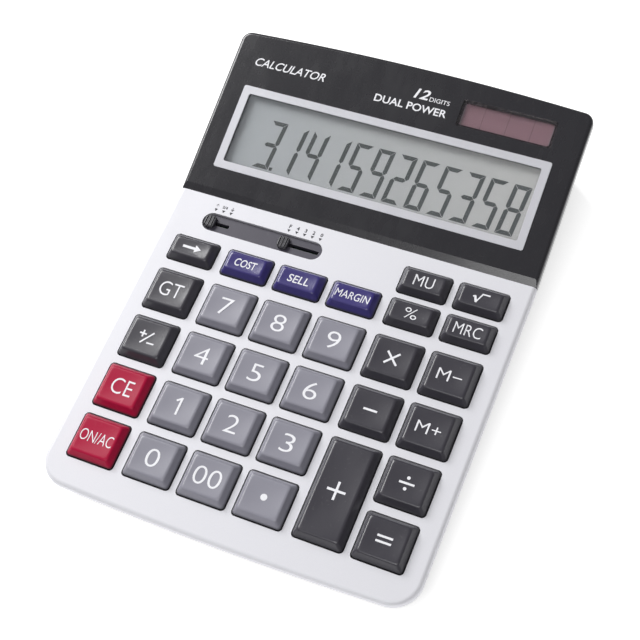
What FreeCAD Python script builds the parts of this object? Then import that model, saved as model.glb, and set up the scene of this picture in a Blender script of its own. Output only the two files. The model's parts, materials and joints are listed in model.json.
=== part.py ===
"""Desk calculator: silver keyboard cover, tilted dark display cover and drafted lower case.

Three frames are used, all in millimetres with +X to the right and +Y to the back:

- keyboard frame: the XY plane is the top face of the keyboard, and the X axis is the seam
  between the keyboard cover and the display cover
- display frame: the same seam, turned up by DISPLAY_TILT and raised by DISPLAY_PROUD
- table frame: +Z is vertical, the feet stand on z = 0 and the origin is the middle of the
  bottom of the bounding box

Each piece is drawn in the frame that suits it, and every node is written in the table frame.
"""

import FreeCAD, Part
import math
import os
from collections import namedtuple

Vector = FreeCAD.Vector
X_AXIS = Vector(1, 0, 0)

# Overall sizes
BODY_WIDTH = 140.0
KEYBOARD_LENGTH = 123.8  # seam to front edge on the centre line
DISPLAY_LENGTH = 69.4  # seam to rear edge on the centre line
DISPLAY_TILT = 11.5  # degrees, display face against keyboard face
KEYBOARD_TILT = 3.2  # degrees, keyboard face against the table
FRONT_HEIGHT = 13.0  # top of the front edge above the table
FOOT_HEIGHT = 1.2  # underside above the table

# Covers
SKIRT_DEPTH = 3.4  # outside wall behind the seam and at it, measured square to the face
FRONT_SKIRT = 3.2  # outside wall at the front edge
COVER_THICKNESS = 2.0
WALL = 2.0
EDGE_ROUND = 1.6
FRONT_BOW_RADIUS = 1480.0
FRONT_CORNER = 10.5
REAR_BOW_RADIUS = 1200.0
REAR_CORNER = 4.0
SEAM_GAP = 0.1
DISPLAY_PROUD = 0.6  # display face above the keyboard face at the seam
BEVEL_LENGTH = 2.8  # front bevel of the display cover
TONGUE_REACH = 3.0  # keyboard cover's tongue under the display cover
TONGUE_THICKNESS = 1.2
TONGUE_ROOT = 4.0

# Lower case
LOWER_STEP = 0.2  # lower case inside the skirt, at the rim
LOWER_DRAFT = 11.5  # degrees that its walls lean in, from square to the face above
LOWER_REAR_LEAN = 3.0  # degrees that the rear wall leans in from vertical
LOWER_FRONT_DRAFT = 20.0  # degrees that the front wall leans in, from square to the rim
LOWER_FRONT_CORNER = 10.5
LOWER_REAR_CORNER = 17.0
LOWER_WALL = 2.8  # thick enough to carry the rib inside the covers
RIM_GAP = 0.1
FLOOR_THICKNESS = 2.0
LAP_THICKNESS = 1.0
LAP_HEIGHT = 1.0
LAP_GAP = 0.2

# Keys
KEY_OPENING_WIDTH = 18.8
KEY_OPENING_DEPTH = 17.4
SMALL_OPENING_DEPTH = 11.3
OPENING_CORNER = 1.6
KEY_CLEARANCE = 0.5
COLUMN_GAP = 2.2
WIDE_COLUMN_GAP = 3.2  # beside the digit block
ROW_GAP = 2.93
SMALL_ROW_GAP = 3.75  # between the digit rows and the row behind them
TOP_ROW_GAP = 1.85
TOP_ROW_MARGIN = 5.6  # seam to the rearmost openings
KEY_RISE = 3.0
KEY_SHOULDER = 0.5
KEY_TOP_INSET = 1.65
KEY_TOP_CORNER = 1.2
KEY_TOP_THICKNESS = 1.2
KEY_WALL = 1.1
KEY_EDGE_ROUND = 0.45
TAB_REACH = 0.8  # past the opening, under the cover
TAB_THICKNESS = 1.0
TAB_GAP = 0.1
TAB_WIDTH = 5.0
PLUNGER_DIAMETER = 5.0

# Dome sheet and board
DOME_GAP = 0.1
DOME_HEIGHT = 2.7
DOME_BASE_DIAMETER = 7.0
DOME_TOP_DIAMETER = 4.6
DOME_SKIN = 0.5
SHEET_THICKNESS = 0.6
SHEET_MARGIN = 0.6  # past the key openings
BOARD_THICKNESS = 1.2
BOARD_SIDE_MARGIN = 1.4
BOARD_REAR = 5.2  # seam to rear edge of the board
BOSS_CLEARANCE = 0.3
CHIP_DIAMETER = 16.0
CHIP_HEIGHT = 1.8
CHIP_FROM_SEAM = 38.0

# Switches
SLOT_LENGTH = 48.3
SLOT_WIDTH = 7.5
SLOT_CENTRE_X = -31.95
SLOT_FROM_SEAM = 10.4
SLOT_FIT = 0.15
PLATE_RECESS = 1.0  # plate below the keyboard face
PLATE_FLANGE = 1.2
PLATE_FLANGE_THICKNESS = 0.8
ROUNDING_START_X = -53.05
ROUNDING_PITCH = 3.1
ROUNDING_PLACES = 3
DECIMAL_START_X = -23.1
DECIMAL_PITCH = 3.15
DECIMAL_PLACES = 5
KNOB_LENGTH = 4.4
KNOB_WIDTH = 5.0
KNOB_CORNER = 1.5
KNOB_RISE = 0.6  # above the keyboard face
KNOB_LIFT = 0.1  # over the plate
KNOB_ROUND = 0.5
RIB_COUNT = 3
RIB_PITCH = 1.3
RIB_GROOVE = 0.5
RIB_DEPTH = 0.6
STEM_LENGTH = 2.2
STEM_WIDTH = 1.2
STEM_CLEARANCE = 0.15
SHOE_LENGTH = 4.6
SHOE_WIDTH = 4.6
SHOE_THICKNESS = 0.7
SHOE_GAP = 0.1
WIPER_STRIP = 0.2
WIPER_WIDTH = 3.0
WIPER_GAP = 0.1
WIPER_SPLAY = 0.6  # each leg leans in by this much
WIPER_TOE = 0.8

# Display
FRAME_WIDTH = 122.0
FRAME_NEAR = 11.25  # seam to the frame's front edge, along the display face
FRAME_FAR = 45.6
FRAME_BORDER = 3.0
FRAME_THICKNESS = 0.55
FRAME_PROUD = 0.15
FRAME_FIT = 0.1
FRAME_CORNER = 0.8
GLASS_ROOM = 0.3  # cover's opening past the frame's inner edge
WINDOW_THICKNESS = 0.7
LCD_GAP = 0.35
LCD_THICKNESS = 2.6
LCD_MARGIN = 2.0  # glass past the frame's inner edge
HOLDER_FIT = 0.15
HOLDER_RIM = 2.6
HOLDER_BACK = 1.2
HOLDER_LEDGE = 8.0
EAR_REACH = 3.6
EAR_WIDTH = 5.0
RIBBON_THICKNESS = 0.2
RIBBON_WIDTH = 64.0
RIBBON_LAND = 3.0  # bonded length on the glass and on the board
RIBBON_GAP = 0.3
RIBBON_STEP = 0.6  # length over which it drops clear of the holder
RIBBON_MARGIN = 1.0  # ribbon past the edges that it lies on

# Solar cell
SOLAR_WIDTH = 35.8
SOLAR_CENTRE_X = 40.3
SOLAR_NEAR = 50.6
SOLAR_FAR = 61.1
SOLAR_LEDGE = 0.8
SOLAR_WINDOW_THICKNESS = 0.8
SOLAR_WINDOW_SINK = 0.1
SOLAR_CELL_THICKNESS = 1.1
SOLAR_CELL_GAP = 0.1
SOLAR_PAD_THICKNESS = 1.5
SOLAR_PAD_INSET = 3.0

# Wires
WIRE_DIAMETER = 0.9
WIRE_BEND = 4.0
WIRE_SPACING = 3.0
WIRE_GAP = 0.05
WIRE_DROP = 5.0  # wires below the holder and the board
WIRE_REACH = 12.0  # rear edge of the board to the wires' ends

# Fasteners
CASE_SCREW_DIAMETER = 2.2
CASE_HEAD_DIAMETER = 4.2
CASE_HEAD_HEIGHT = 1.6
CASE_BOSS_DIAMETER = 4.4
CASE_POST_DIAMETER = 7.4
CASE_BOSS_LENGTH = 6.0
CASE_WEB = 2.4  # lower case clamped under each head
CASE_BITE = 4.4  # screw length in the boss
HEAD_CLEARANCE = 0.4
SHANK_CLEARANCE = 0.15
THREAD_FIT = 0.02
BOSS_ROOT = 1.2  # boss sunk in the cover
POST_GAP = 0.1
FRONT_SCREW_INSET = 7.6
FRONT_SCREW_SIDE_INSET = 10.0
SEAM_SCREW_INSET = 8.5
SEAM_SCREW_BACK = 2.3
REAR_SCREW_X = 44.0
REAR_SCREW_INSET = 4.8
SMALL_SCREW_DIAMETER = 1.4
SMALL_HEAD_DIAMETER = 2.6
SMALL_HEAD_HEIGHT = 0.9
SMALL_BOSS_DIAMETER = 2.6
SMALL_BITE = 3.0
CROSS_WIDTH = 0.5
CROSS_DEPTH = 0.6
CROSS_REACH = 0.32  # arm of the cross against the diameter of the head

# Feet
FOOT_DIAMETER = 10.0
FOOT_SINK = 0.8
FOOT_SIDE_INSET = 17.0
FOOT_END_INSET = 19.0
FOOT_CHAMFER = 0.3

# Battery
CELL_DIAMETER = 11.6
CELL_HEIGHT = 5.4
CELL_CLEARANCE = 0.4
WELL_WALL = 1.5
CONTACT_THICKNESS = 0.3
CONTACT_GAP = 0.05
CONTACT_SHARE = 0.4  # slot for the contacts against the diameter of the cell
CONTACT_SIDE_GAP = 0.4
CONTACT_TAIL = 2.0  # leaf in front of the well
CONTACT_END_GAP = 0.5
CELL_CAP_HEIGHT = 0.6
CELL_CAP_SHARE = 0.8  # cap against the diameter of the cell
CONTACT_ROOM = 1.0
DOOR_WIDTH = 20.0
DOOR_LENGTH = 24.0
DOOR_THICKNESS = 1.4
DOOR_CLEARANCE = 0.2
DOOR_TONGUE = 0.9
DOOR_TONGUE_THICKNESS = 0.6
DOOR_CEILING = 1.4  # floor left above the door
DOOR_REAR_SETBACK = 0.5
GRIP_COUNT = 4
GRIP_PITCH = 1.6
GRIP_GROOVE = 0.8
GRIP_DEPTH = 0.4
GRIP_SETBACK = 4.0
CELL_FROM_DOOR_FRONT = 9.5

# Levels square to the keyboard face
KEY_BOTTOM = -(COVER_THICKNESS + TAB_GAP + TAB_THICKNESS)
DOME_TOP = KEY_BOTTOM - DOME_GAP
SHEET_TOP = DOME_TOP - DOME_HEIGHT
BOARD_TOP = SHEET_TOP - SHEET_THICKNESS
BOARD_BOTTOM = BOARD_TOP - BOARD_THICKNESS

# Levels square to the display face
DISPLAY_SKIRT = SKIRT_DEPTH + DISPLAY_PROUD
WINDOW_TOP = FRAME_PROUD - FRAME_THICKNESS
WINDOW_BOTTOM = WINDOW_TOP - WINDOW_THICKNESS
LCD_TOP = -COVER_THICKNESS - LCD_GAP
LCD_BOTTOM = LCD_TOP - LCD_THICKNESS
HOLDER_BOTTOM = LCD_BOTTOM - HOLDER_BACK
SOLAR_TOP = -COVER_THICKNESS - SOLAR_CELL_GAP
SOLAR_BOTTOM = SOLAR_TOP - SOLAR_CELL_THICKNESS

# Places of the body in the table frame
TILT = math.radians(KEYBOARD_TILT)
DISPLAY_SLOPE = math.radians(KEYBOARD_TILT + DISPLAY_TILT)
SEAM_HEIGHT = FRONT_HEIGHT + KEYBOARD_LENGTH * math.sin(TILT)
FRONT_REACH = KEYBOARD_LENGTH * math.cos(TILT) - EDGE_ROUND * (
    math.cos(TILT) + math.sin(TILT) - 1
)
REAR_REACH = DISPLAY_LENGTH * math.cos(DISPLAY_SLOPE) + SKIRT_DEPTH * math.sin(DISPLAY_SLOPE)
SEAM_Y = (FRONT_REACH - REAR_REACH) / 2
SIDE_LEAN = math.tan(math.radians(LOWER_DRAFT))
FRONT_LEAN = math.tan(math.radians(LOWER_FRONT_DRAFT))
REAR_LEAN = math.tan(DISPLAY_SLOPE + math.radians(LOWER_REAR_LEAN))
REAR_HEIGHT = SEAM_HEIGHT + DISPLAY_LENGTH * math.sin(DISPLAY_SLOPE)

KEYBOARD_FRAME = FreeCAD.Placement(
    Vector(0, SEAM_Y, SEAM_HEIGHT), FreeCAD.Rotation(X_AXIS, KEYBOARD_TILT)
)
DISPLAY_ON_KEYBOARD = FreeCAD.Placement(
    Vector(0, 0, 0), FreeCAD.Rotation(X_AXIS, DISPLAY_TILT)
) * FreeCAD.Placement(Vector(0, 0, DISPLAY_PROUD), FreeCAD.Rotation())
DISPLAY_FRAME = KEYBOARD_FRAME * DISPLAY_ON_KEYBOARD
RIM_SLOPE = math.degrees(math.asin((SKIRT_DEPTH - FRONT_SKIRT) / KEYBOARD_LENGTH))
RIM_ON_KEYBOARD = FreeCAD.Placement(
    Vector(0, 0, -SKIRT_DEPTH), FreeCAD.Rotation(X_AXIS, -RIM_SLOPE)
)
MITRE = FreeCAD.Placement(Vector(0, 0, 0), FreeCAD.Rotation(X_AXIS, DISPLAY_TILT / 2))

FAR = 400.0  # larger than the body, for cutting blocks
OVERLAP = 4.0  # covers drawn past the seam before they are trimmed to it
LONG_OVERLAP = 40.0  # lower case drawn past the seam before it is trimmed to it
PAST = 1.0  # cutting blocks run this far past the face that they cut
FINE = 0.01  # tolerance on levels, and the shortest straight between two arcs

Key = namedtuple("Key", "name x y width depth")

KEY_ROWS = [
    (None, None, None, None, "key_markup", "key_root"),
    ("key_backspace", "key_cost", "key_sell", "key_margin", "key_percent", "key_memory_recall"),
    ("key_grand_total", "key_7", "key_8", "key_9", "key_multiply", "key_memory_minus"),
    ("key_sign", "key_4", "key_5", "key_6", "key_minus", "key_memory_plus"),
    ("key_clear_entry", "key_1", "key_2", "key_3", "key_plus", "key_divide"),
    ("key_on_clear", "key_0", "key_00", "key_point", None, "key_equals"),
]
SMALL_ROWS = 2  # the two rearmost rows hold the shallow keys
TALL_KEY = "key_plus"  # spans the two front rows


# Basic shapes


def box(x0, x1, y0, y1, z0, z1):
    """Block between two opposite corners."""
    return Part.makeBox(x1 - x0, y1 - y0, z1 - z0, Vector(x0, y0, z0))


def cylinder(x, y, z0, z1, diameter):
    """Upright round bar."""
    return Part.makeCylinder(diameter / 2, z1 - z0, Vector(x, y, z0))


def cone(x, y, z0, z1, lower_diameter, upper_diameter):
    """Upright cone cut off at both ends."""
    return Part.makeCone(lower_diameter / 2, upper_diameter / 2, z1 - z0, Vector(x, y, z0))


def moved(shape, x, y, z=0.0):
    """Copy of a shape, shifted."""
    copy = shape.copy()
    copy.translate(Vector(x, y, z))
    return copy


def placed(shape, frame):
    """Copy of a shape drawn in a frame, carried to the frame that holds it."""
    copy = shape.copy()
    copy.Placement = frame * copy.Placement
    return copy


def rounded_rectangle(width, depth, corner, z=0.0):
    """Closed wire centred on the Z axis, with arcs at its corners."""
    x = width / 2
    y = depth / 2
    diagonal = corner * (1 - math.sqrt(0.5))
    edges = []
    for sx, sy in ((1, 1), (-1, 1), (-1, -1), (1, -1)):
        along_x = Vector(sx * (x - corner), sy * y, z)
        along_y = Vector(sx * x, sy * (y - corner), z)
        middle = Vector(sx * (x - diagonal), sy * (y - diagonal), z)
        if sx * sy > 0:
            edges.append(Part.Arc(along_y, middle, along_x).toShape())
        else:
            edges.append(Part.Arc(along_x, middle, along_y).toShape())
    ends = [(edge.valueAt(edge.LastParameter), edge.valueAt(edge.FirstParameter)) for edge in edges]
    ring = []
    for index, edge in enumerate(edges):
        ring.append(edge)
        following = ends[(index + 1) % len(ends)][1]
        ring.append(Part.makeLine(ends[index][0], following))
    return Part.Wire(ring)


def prism(wire, z0, z1):
    """Solid from an outline drawn at z = 0, between two levels."""
    solid = Part.Face(wire).extrude(Vector(0, 0, z1 - z0))
    solid.translate(Vector(0, 0, z0))
    return solid


def side_prism(points, x0, x1):
    """Solid from a (y, z) polygon, extruded along X."""
    corners = [Vector(x0, y, z) for y, z in points]
    face = Part.Face(Part.makePolygon(corners + corners[:1]))
    return face.extrude(Vector(x1 - x0, 0, 0))


def front_prism(points, y0, y1):
    """Solid from an (x, z) polygon, extruded along Y."""
    corners = [Vector(x, y0, z) for x, z in points]
    face = Part.Face(Part.makePolygon(corners + corners[:1]))
    return face.extrude(Vector(0, y1 - y0, 0))


def joined(shapes):
    """One solid from touching or overlapping solids."""
    first, *others = shapes
    return first.fuse(others).removeSplitter()


def cross_recess(x, y, z, reach):
    """Cross-shaped driver recess, opening downward from level z."""
    arm = CROSS_WIDTH / 2
    return joined(
        [
            box(x - reach, x + reach, y - arm, y + arm, z, z + CROSS_DEPTH),
            box(x - arm, x + arm, y - reach, y + reach, z, z + CROSS_DEPTH),
        ]
    )


def screw(x, y, seat, shank_diameter, head_diameter, head_height, reach):
    """Screw driven upward, with the top of its head at level seat."""
    head = cylinder(x, y, seat - head_height, seat, head_diameter)
    shank = cylinder(x, y, seat, seat + reach, shank_diameter)
    recess = cross_recess(x, y, seat - head_height, head_diameter * CROSS_REACH)
    return joined([head, shank]).cut(recess)


def wire_path(points):
    """Tangent path of straight runs and arcs through a list of corners."""
    edges = []
    start = points[0]
    for before, corner, after in zip(points, points[1:], points[2:]):
        inward = (before - corner).normalize()
        outward = (after - corner).normalize()
        turn = math.pi - inward.getAngle(outward)
        reach = WIRE_BEND * math.tan(turn / 2)
        entry = corner + inward * reach
        leave = corner + outward * reach
        to_centre = (inward + outward).normalize()
        sag = WIRE_BEND / math.cos(turn / 2) - WIRE_BEND
        edges.append(Part.makeLine(start, entry))
        edges.append(Part.Arc(entry, corner + to_centre * sag, leave).toShape())
        start = leave
    edges.append(Part.makeLine(start, points[-1]))
    return Part.Wire(edges)


def insulated_wire(points):
    """Round wire that follows a path of straight runs and arcs."""
    path = wire_path(points)
    direction = (points[1] - points[0]).normalize()
    section = Part.Wire(Part.makeCircle(WIRE_DIAMETER / 2, points[0], direction))
    return path.makePipeShell([section], True, False)


# Outlines of the body


def body_outline(side, length, bow_radius, corner, inset, open_end):
    """Outline from the seam towards a bowed end, in the XY plane.

    side is -1 for the keyboard, which runs to -Y, and +1 for the display. The corners and the
    bow keep their centres for every inset, so insets are parallel. The straight end lies at
    open_end past the seam, away from the bowed end.
    """
    half = BODY_WIDTH / 2
    bow = bow_radius - inset
    bend = corner - inset
    bow_centre = length - bow_radius
    corner_x = half - corner
    corner_y = bow_centre + math.sqrt((bow_radius - corner) ** 2 - corner_x**2)
    lean = math.atan2(corner_x, corner_y - bow_centre)
    touch = Vector(bow * math.sin(lean), bow_centre + bow * math.cos(lean), 0)
    half_turn = (math.pi / 2 + lean) / 2
    middle = Vector(
        corner_x + bend * math.sin(half_turn), corner_y + bend * math.cos(half_turn), 0
    )
    side_top = Vector(half - inset, corner_y, 0)
    side_end = Vector(half - inset, -open_end, 0)
    crown = Vector(0, bow_centre + bow, 0)

    def right(point):
        return Vector(point.x, side * point.y, 0)

    def left(point):
        return Vector(-point.x, side * point.y, 0)

    return Part.Wire(
        [
            Part.makeLine(right(side_end), right(side_top)),
            Part.Arc(right(side_top), right(middle), right(touch)).toShape(),
            Part.Arc(right(touch), right(crown), left(touch)).toShape(),
            Part.Arc(left(touch), left(middle), left(side_top)).toShape(),
            Part.makeLine(left(side_top), left(side_end)),
            Part.makeLine(left(side_end), right(side_end)),
        ]
    )


def keyboard_outline(inset, open_end=0.0, corner=FRONT_CORNER):
    """Keyboard half of the body, in the keyboard frame."""
    return body_outline(-1, KEYBOARD_LENGTH, FRONT_BOW_RADIUS, corner, inset, open_end)


def display_outline(inset, open_end=0.0, corner=REAR_CORNER):
    """Display half of the body, in the display frame."""
    return body_outline(1, DISPLAY_LENGTH, REAR_BOW_RADIUS, corner, inset, open_end)


def front_of_mitre(gap):
    """Block in front of the plane that halves the angle between the two faces."""
    return placed(box(-FAR, FAR, -FAR, -gap, -FAR, FAR), MITRE)


def behind_mitre(gap):
    """Block behind the plane that halves the angle between the two faces."""
    return placed(box(-FAR, FAR, gap, FAR, -FAR, FAR), MITRE)


def round_top_edges(solid, seam_y):
    """Round the edges of the top face, apart from the one along the seam."""
    top = solid.BoundBox.ZMax
    edges = []
    for edge in solid.Edges:
        limits = edge.BoundBox
        level = limits.ZMin > top - FINE
        on_seam = abs(limits.YMin - seam_y) < FINE and abs(limits.YMax - seam_y) < FINE
        if level and not on_seam:
            edges.append(edge)
    return solid.makeFillet(EDGE_ROUND, edges)


# Places of repeated things


def column_centres():
    """X of the six key columns, centred on the body."""
    gaps = [WIDE_COLUMN_GAP, COLUMN_GAP, COLUMN_GAP, WIDE_COLUMN_GAP, COLUMN_GAP]
    centres = [0.0]
    for gap in gaps:
        centres.append(centres[-1] + KEY_OPENING_WIDTH + gap)
    middle = centres[-1] / 2
    return [centre - middle for centre in centres]


def row_centres():
    """Y of the six key rows, from the rearmost to the front."""
    top = -(TOP_ROW_MARGIN + SMALL_OPENING_DEPTH / 2)
    second = top - SMALL_OPENING_DEPTH - TOP_ROW_GAP
    rows = [top, second, second - SMALL_OPENING_DEPTH / 2 - SMALL_ROW_GAP - KEY_OPENING_DEPTH / 2]
    while len(rows) < len(KEY_ROWS):
        rows.append(rows[-1] - KEY_OPENING_DEPTH - ROW_GAP)
    return rows


def key_list():
    """Every key with the centre and size of its opening."""
    columns = column_centres()
    rows = row_centres()
    keys = []
    for row, names in enumerate(KEY_ROWS):
        depth = SMALL_OPENING_DEPTH if row < SMALL_ROWS else KEY_OPENING_DEPTH
        for column, name in enumerate(names):
            if name == TALL_KEY:
                centre = (rows[row] + rows[row + 1]) / 2
                tall = rows[row] - rows[row + 1] + depth
                keys.append(Key(name, columns[column], centre, KEY_OPENING_WIDTH, tall))
            elif name:
                keys.append(Key(name, columns[column], rows[row], KEY_OPENING_WIDTH, depth))
    return keys


KEYS = key_list()
FIELD_RIGHT = max(key.x + key.width / 2 for key in KEYS)
FIELD_FRONT = min(key.y - key.depth / 2 for key in KEYS)


def board_screw_places():
    """Crossings between four keys where the board is screwed to the keyboard cover."""
    columns = column_centres()
    rows = row_centres()
    crossings = ((0, 1), (4, 1), (2, 2), (0, 4), (2, 4), (4, 3))
    places = []
    for column, row in crossings:
        x = (columns[column] + columns[column + 1]) / 2
        rear_depth = SMALL_OPENING_DEPTH if row < SMALL_ROWS else KEY_OPENING_DEPTH
        rear_edge = rows[row] - rear_depth / 2
        front_edge = rows[row + 1] + KEY_OPENING_DEPTH / 2
        places.append((x, (rear_edge + front_edge) / 2))
    return places


def on_table(frame, x, y, z):
    """Point of a frame in the table frame."""
    return frame.multVec(Vector(x, y, z))


def case_screw_places():
    """Table-frame points under the covers where the six case screws stand."""
    places = []
    for side in (-1, 1):
        front_x = side * (BODY_WIDTH / 2 - FRONT_SCREW_SIDE_INSET)
        seam_x = side * (BODY_WIDTH / 2 - SEAM_SCREW_INSET)
        front_y = -(KEYBOARD_LENGTH - FRONT_SCREW_INSET)
        rear_y = DISPLAY_LENGTH - REAR_SCREW_INSET
        under = -COVER_THICKNESS
        places.append(on_table(KEYBOARD_FRAME, front_x, front_y, under))
        places.append(on_table(KEYBOARD_FRAME, seam_x, -SEAM_SCREW_BACK, under))
        places.append(on_table(DISPLAY_FRAME, side * REAR_SCREW_X, rear_y, under))
    return places


def switch_range(start_x, pitch, places):
    """First and last X of a switch knob's centre."""
    return start_x, start_x + pitch * (places - 1)


def foot_places():
    """Centres of the four feet in the table frame."""
    half_width = BODY_WIDTH / 2 - FOOT_SIDE_INSET
    front = SEAM_Y - FRONT_REACH + FOOT_END_INSET
    rear = SEAM_Y + REAR_REACH - FOOT_END_INSET
    return [(x, y) for x in (-half_width, half_width) for y in (front, rear)]


# Covers


def screw_pilot(place):
    """Hole for the thread of a case screw, from the table up, in the table frame."""
    top = place.z - CASE_BOSS_LENGTH + CASE_BITE + POST_GAP
    return cylinder(place.x, place.y, 0, top, CASE_SCREW_DIAMETER + THREAD_FIT)


def upper_boss(place):
    """Boss of a case screw, from inside a cover down to the split, in the table frame."""
    split = place.z - CASE_BOSS_LENGTH
    boss = cylinder(place.x, place.y, split, place.z + BOSS_ROOT, CASE_BOSS_DIAMETER)
    return boss.cut(screw_pilot(place))


def boss_in(frame, place):
    """Boss of a case screw, drawn in a tilted frame."""
    return placed(upper_boss(place), frame.inverse())


def slot_outline(grow):
    """Round-ended switch slot in the keyboard cover, grown on every side."""
    width = SLOT_WIDTH + 2 * grow
    outline = rounded_rectangle(SLOT_LENGTH + 2 * grow, width, width / 2 - FINE)
    outline.translate(Vector(SLOT_CENTRE_X, -SLOT_FROM_SEAM, 0))
    return outline


def board_boss(x, y):
    """Boss between four keys, down to the board, in the keyboard frame."""
    boss = cylinder(x, y, BOARD_TOP, -COVER_THICKNESS, SMALL_BOSS_DIAMETER)
    pilot = SMALL_SCREW_DIAMETER + THREAD_FIT
    return boss.cut(cylinder(x, y, BOARD_TOP, BOARD_TOP + SMALL_BITE, pilot))


def keyboard_cover():
    """Silver cover with key openings, switch slot, bosses and a tongue under the seam."""
    cover = prism(keyboard_outline(0, OVERLAP), -SKIRT_DEPTH, 0)
    cover = round_top_edges(cover, OVERLAP).common(front_of_mitre(SEAM_GAP / 2))
    hollow = prism(keyboard_outline(WALL, 2 * OVERLAP), -SKIRT_DEPTH - PAST, -COVER_THICKNESS)
    below_rim = placed(box(-FAR, FAR, -FAR, FAR, -FAR, 0), RIM_ON_KEYBOARD)
    cover = cover.cut([hollow, below_rim])
    openings = [slot_outline(0)]
    for key in KEYS:
        opening = rounded_rectangle(key.width, key.depth, OPENING_CORNER)
        opening.translate(Vector(key.x, key.y, 0))
        openings.append(opening)
    cover = cover.cut([prism(opening, -COVER_THICKNESS - PAST, PAST) for opening in openings])
    half = BODY_WIDTH / 2 - WALL - LAP_THICKNESS - 2 * LAP_GAP
    tongue_top = -COVER_THICKNESS
    tongue = box(-half, half, -TONGUE_ROOT, TONGUE_REACH, tongue_top - TONGUE_THICKNESS, tongue_top)
    screws = [place for place in case_screw_places() if place.y < SEAM_Y]
    tongue = tongue.cut([placed(screw_pilot(place), KEYBOARD_FRAME.inverse()) for place in screws])
    bosses = [board_boss(x, y) for x, y in board_screw_places()]
    bosses += [boss_in(KEYBOARD_FRAME, place) for place in screws]
    return joined([cover, tongue] + bosses)


def frame_opening(grow):
    """Inner outline of the display frame, grown on every side, in the display frame."""
    width = FRAME_WIDTH - 2 * FRAME_BORDER + 2 * grow
    depth = FRAME_FAR - FRAME_NEAR - 2 * FRAME_BORDER + 2 * grow
    outline = rounded_rectangle(width, depth, FRAME_CORNER)
    outline.translate(Vector(0, (FRAME_NEAR + FRAME_FAR) / 2, 0))
    return outline


def solar_opening(grow):
    """Outline of the solar window, grown on every side, in the display frame."""
    outline = rounded_rectangle(
        SOLAR_WIDTH + 2 * grow, SOLAR_FAR - SOLAR_NEAR + 2 * grow, FRAME_CORNER
    )
    outline.translate(Vector(SOLAR_CENTRE_X, (SOLAR_NEAR + SOLAR_FAR) / 2, 0))
    return outline


def holder_screw_places():
    """Four screws in the ears of the LCD holder, in the display frame."""
    x = holder_half_width() + EAR_REACH / 2
    quarter = (FRAME_FAR - FRAME_NEAR) / 4
    return [(side * x, y) for side in (-1, 1) for y in (FRAME_NEAR + quarter, FRAME_FAR - quarter)]


def holder_boss(x, y):
    """Boss for a holder screw, hanging from the display cover."""
    seat = HOLDER_BOTTOM + HOLDER_BACK
    boss = cylinder(x, y, seat, -COVER_THICKNESS, SMALL_BOSS_DIAMETER)
    pilot = SMALL_SCREW_DIAMETER + THREAD_FIT
    return boss.cut(cylinder(x, y, seat, seat + SMALL_BITE - HOLDER_BACK, pilot))


def display_cover():
    """Dark cover with the display and solar openings and a bevel along the seam."""
    cover = prism(display_outline(0, OVERLAP), -DISPLAY_SKIRT, 0)
    cover = round_top_edges(cover, -OVERLAP)
    hollow = prism(display_outline(WALL, 2 * OVERLAP), -DISPLAY_SKIRT - PAST, -COVER_THICKNESS)
    recess = FRAME_BORDER + FRAME_FIT
    cuts = [
        hollow,
        prism(frame_opening(GLASS_ROOM), -COVER_THICKNESS - PAST, PAST),
        prism(frame_opening(recess), WINDOW_BOTTOM, PAST),
        prism(solar_opening(FRAME_FIT), -SOLAR_WINDOW_SINK - SOLAR_WINDOW_THICKNESS, PAST),
        prism(solar_opening(-SOLAR_LEDGE), -COVER_THICKNESS - PAST, PAST),
    ]
    cover = cover.cut(cuts)
    bosses = [holder_boss(x, y) for x, y in holder_screw_places()]
    bosses += [boss_in(DISPLAY_FRAME, p) for p in case_screw_places() if p.y > SEAM_Y]
    cover = placed(joined([cover] + bosses), DISPLAY_ON_KEYBOARD)
    cover = cover.common(behind_mitre(SEAM_GAP / 2))
    seam = SEAM_GAP / 2
    bevel_top = DISPLAY_ON_KEYBOARD.multVec(Vector(0, BEVEL_LENGTH, 0))
    front = seam - PAST
    bevel = side_prism(
        [(seam, 0), (bevel_top.y, bevel_top.z), (bevel_top.y, FAR), (front, FAR), (front, 0)],
        -FAR,
        FAR,
    )
    return cover.cut(bevel)


# Lower case


def leaning_prism(outline, level, drop, inset, slip):
    """Solid whose walls lean in by LOWER_DRAFT, from just above a level down by drop.

    Each outline also slips towards the front by slip for every millimetre down, which turns
    the lean of the bowed end and leaves the straight sides as they are.
    """
    top = outline(inset - PAST * SIDE_LEAN)
    bottom = outline(inset + drop * SIDE_LEAN)
    top.translate(Vector(0, PAST * slip, level + PAST))
    bottom.translate(Vector(0, -drop * slip, level - drop))
    return Part.makeLoft([top, bottom], True, True)


def drafted_block(inset, floor, rim_gap):
    """Everything under both covers inside leaning walls, above a level floor (table frame)."""

    def front_outline(amount):
        return keyboard_outline(amount, LONG_OVERLAP, LOWER_FRONT_CORNER)

    def rear_outline(amount):
        return display_outline(amount, LONG_OVERLAP, LOWER_REAR_CORNER)

    front_slip = SIDE_LEAN - FRONT_LEAN
    front = leaning_prism(front_outline, 0, SEAM_HEIGHT - SKIRT_DEPTH, inset, front_slip)
    rear_slip = REAR_LEAN - SIDE_LEAN
    rear = leaning_prism(rear_outline, -DISPLAY_SKIRT, REAR_HEIGHT - SKIRT_DEPTH, inset, rear_slip)
    front_rim = box(-FAR, FAR, -FAR, FAR, -rim_gap, FAR)
    rear_rim = box(-FAR, FAR, -FAR, FAR, -DISPLAY_SKIRT - rim_gap, FAR)
    front = placed(front.cut(front_rim), RIM_ON_KEYBOARD).common(front_of_mitre(0))
    rear = placed(rear.cut(rear_rim), DISPLAY_ON_KEYBOARD).common(behind_mitre(0))
    block = placed(joined([front, rear]), KEYBOARD_FRAME)
    return block.common(box(-FAR, FAR, -FAR, FAR, floor, FAR))


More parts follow.
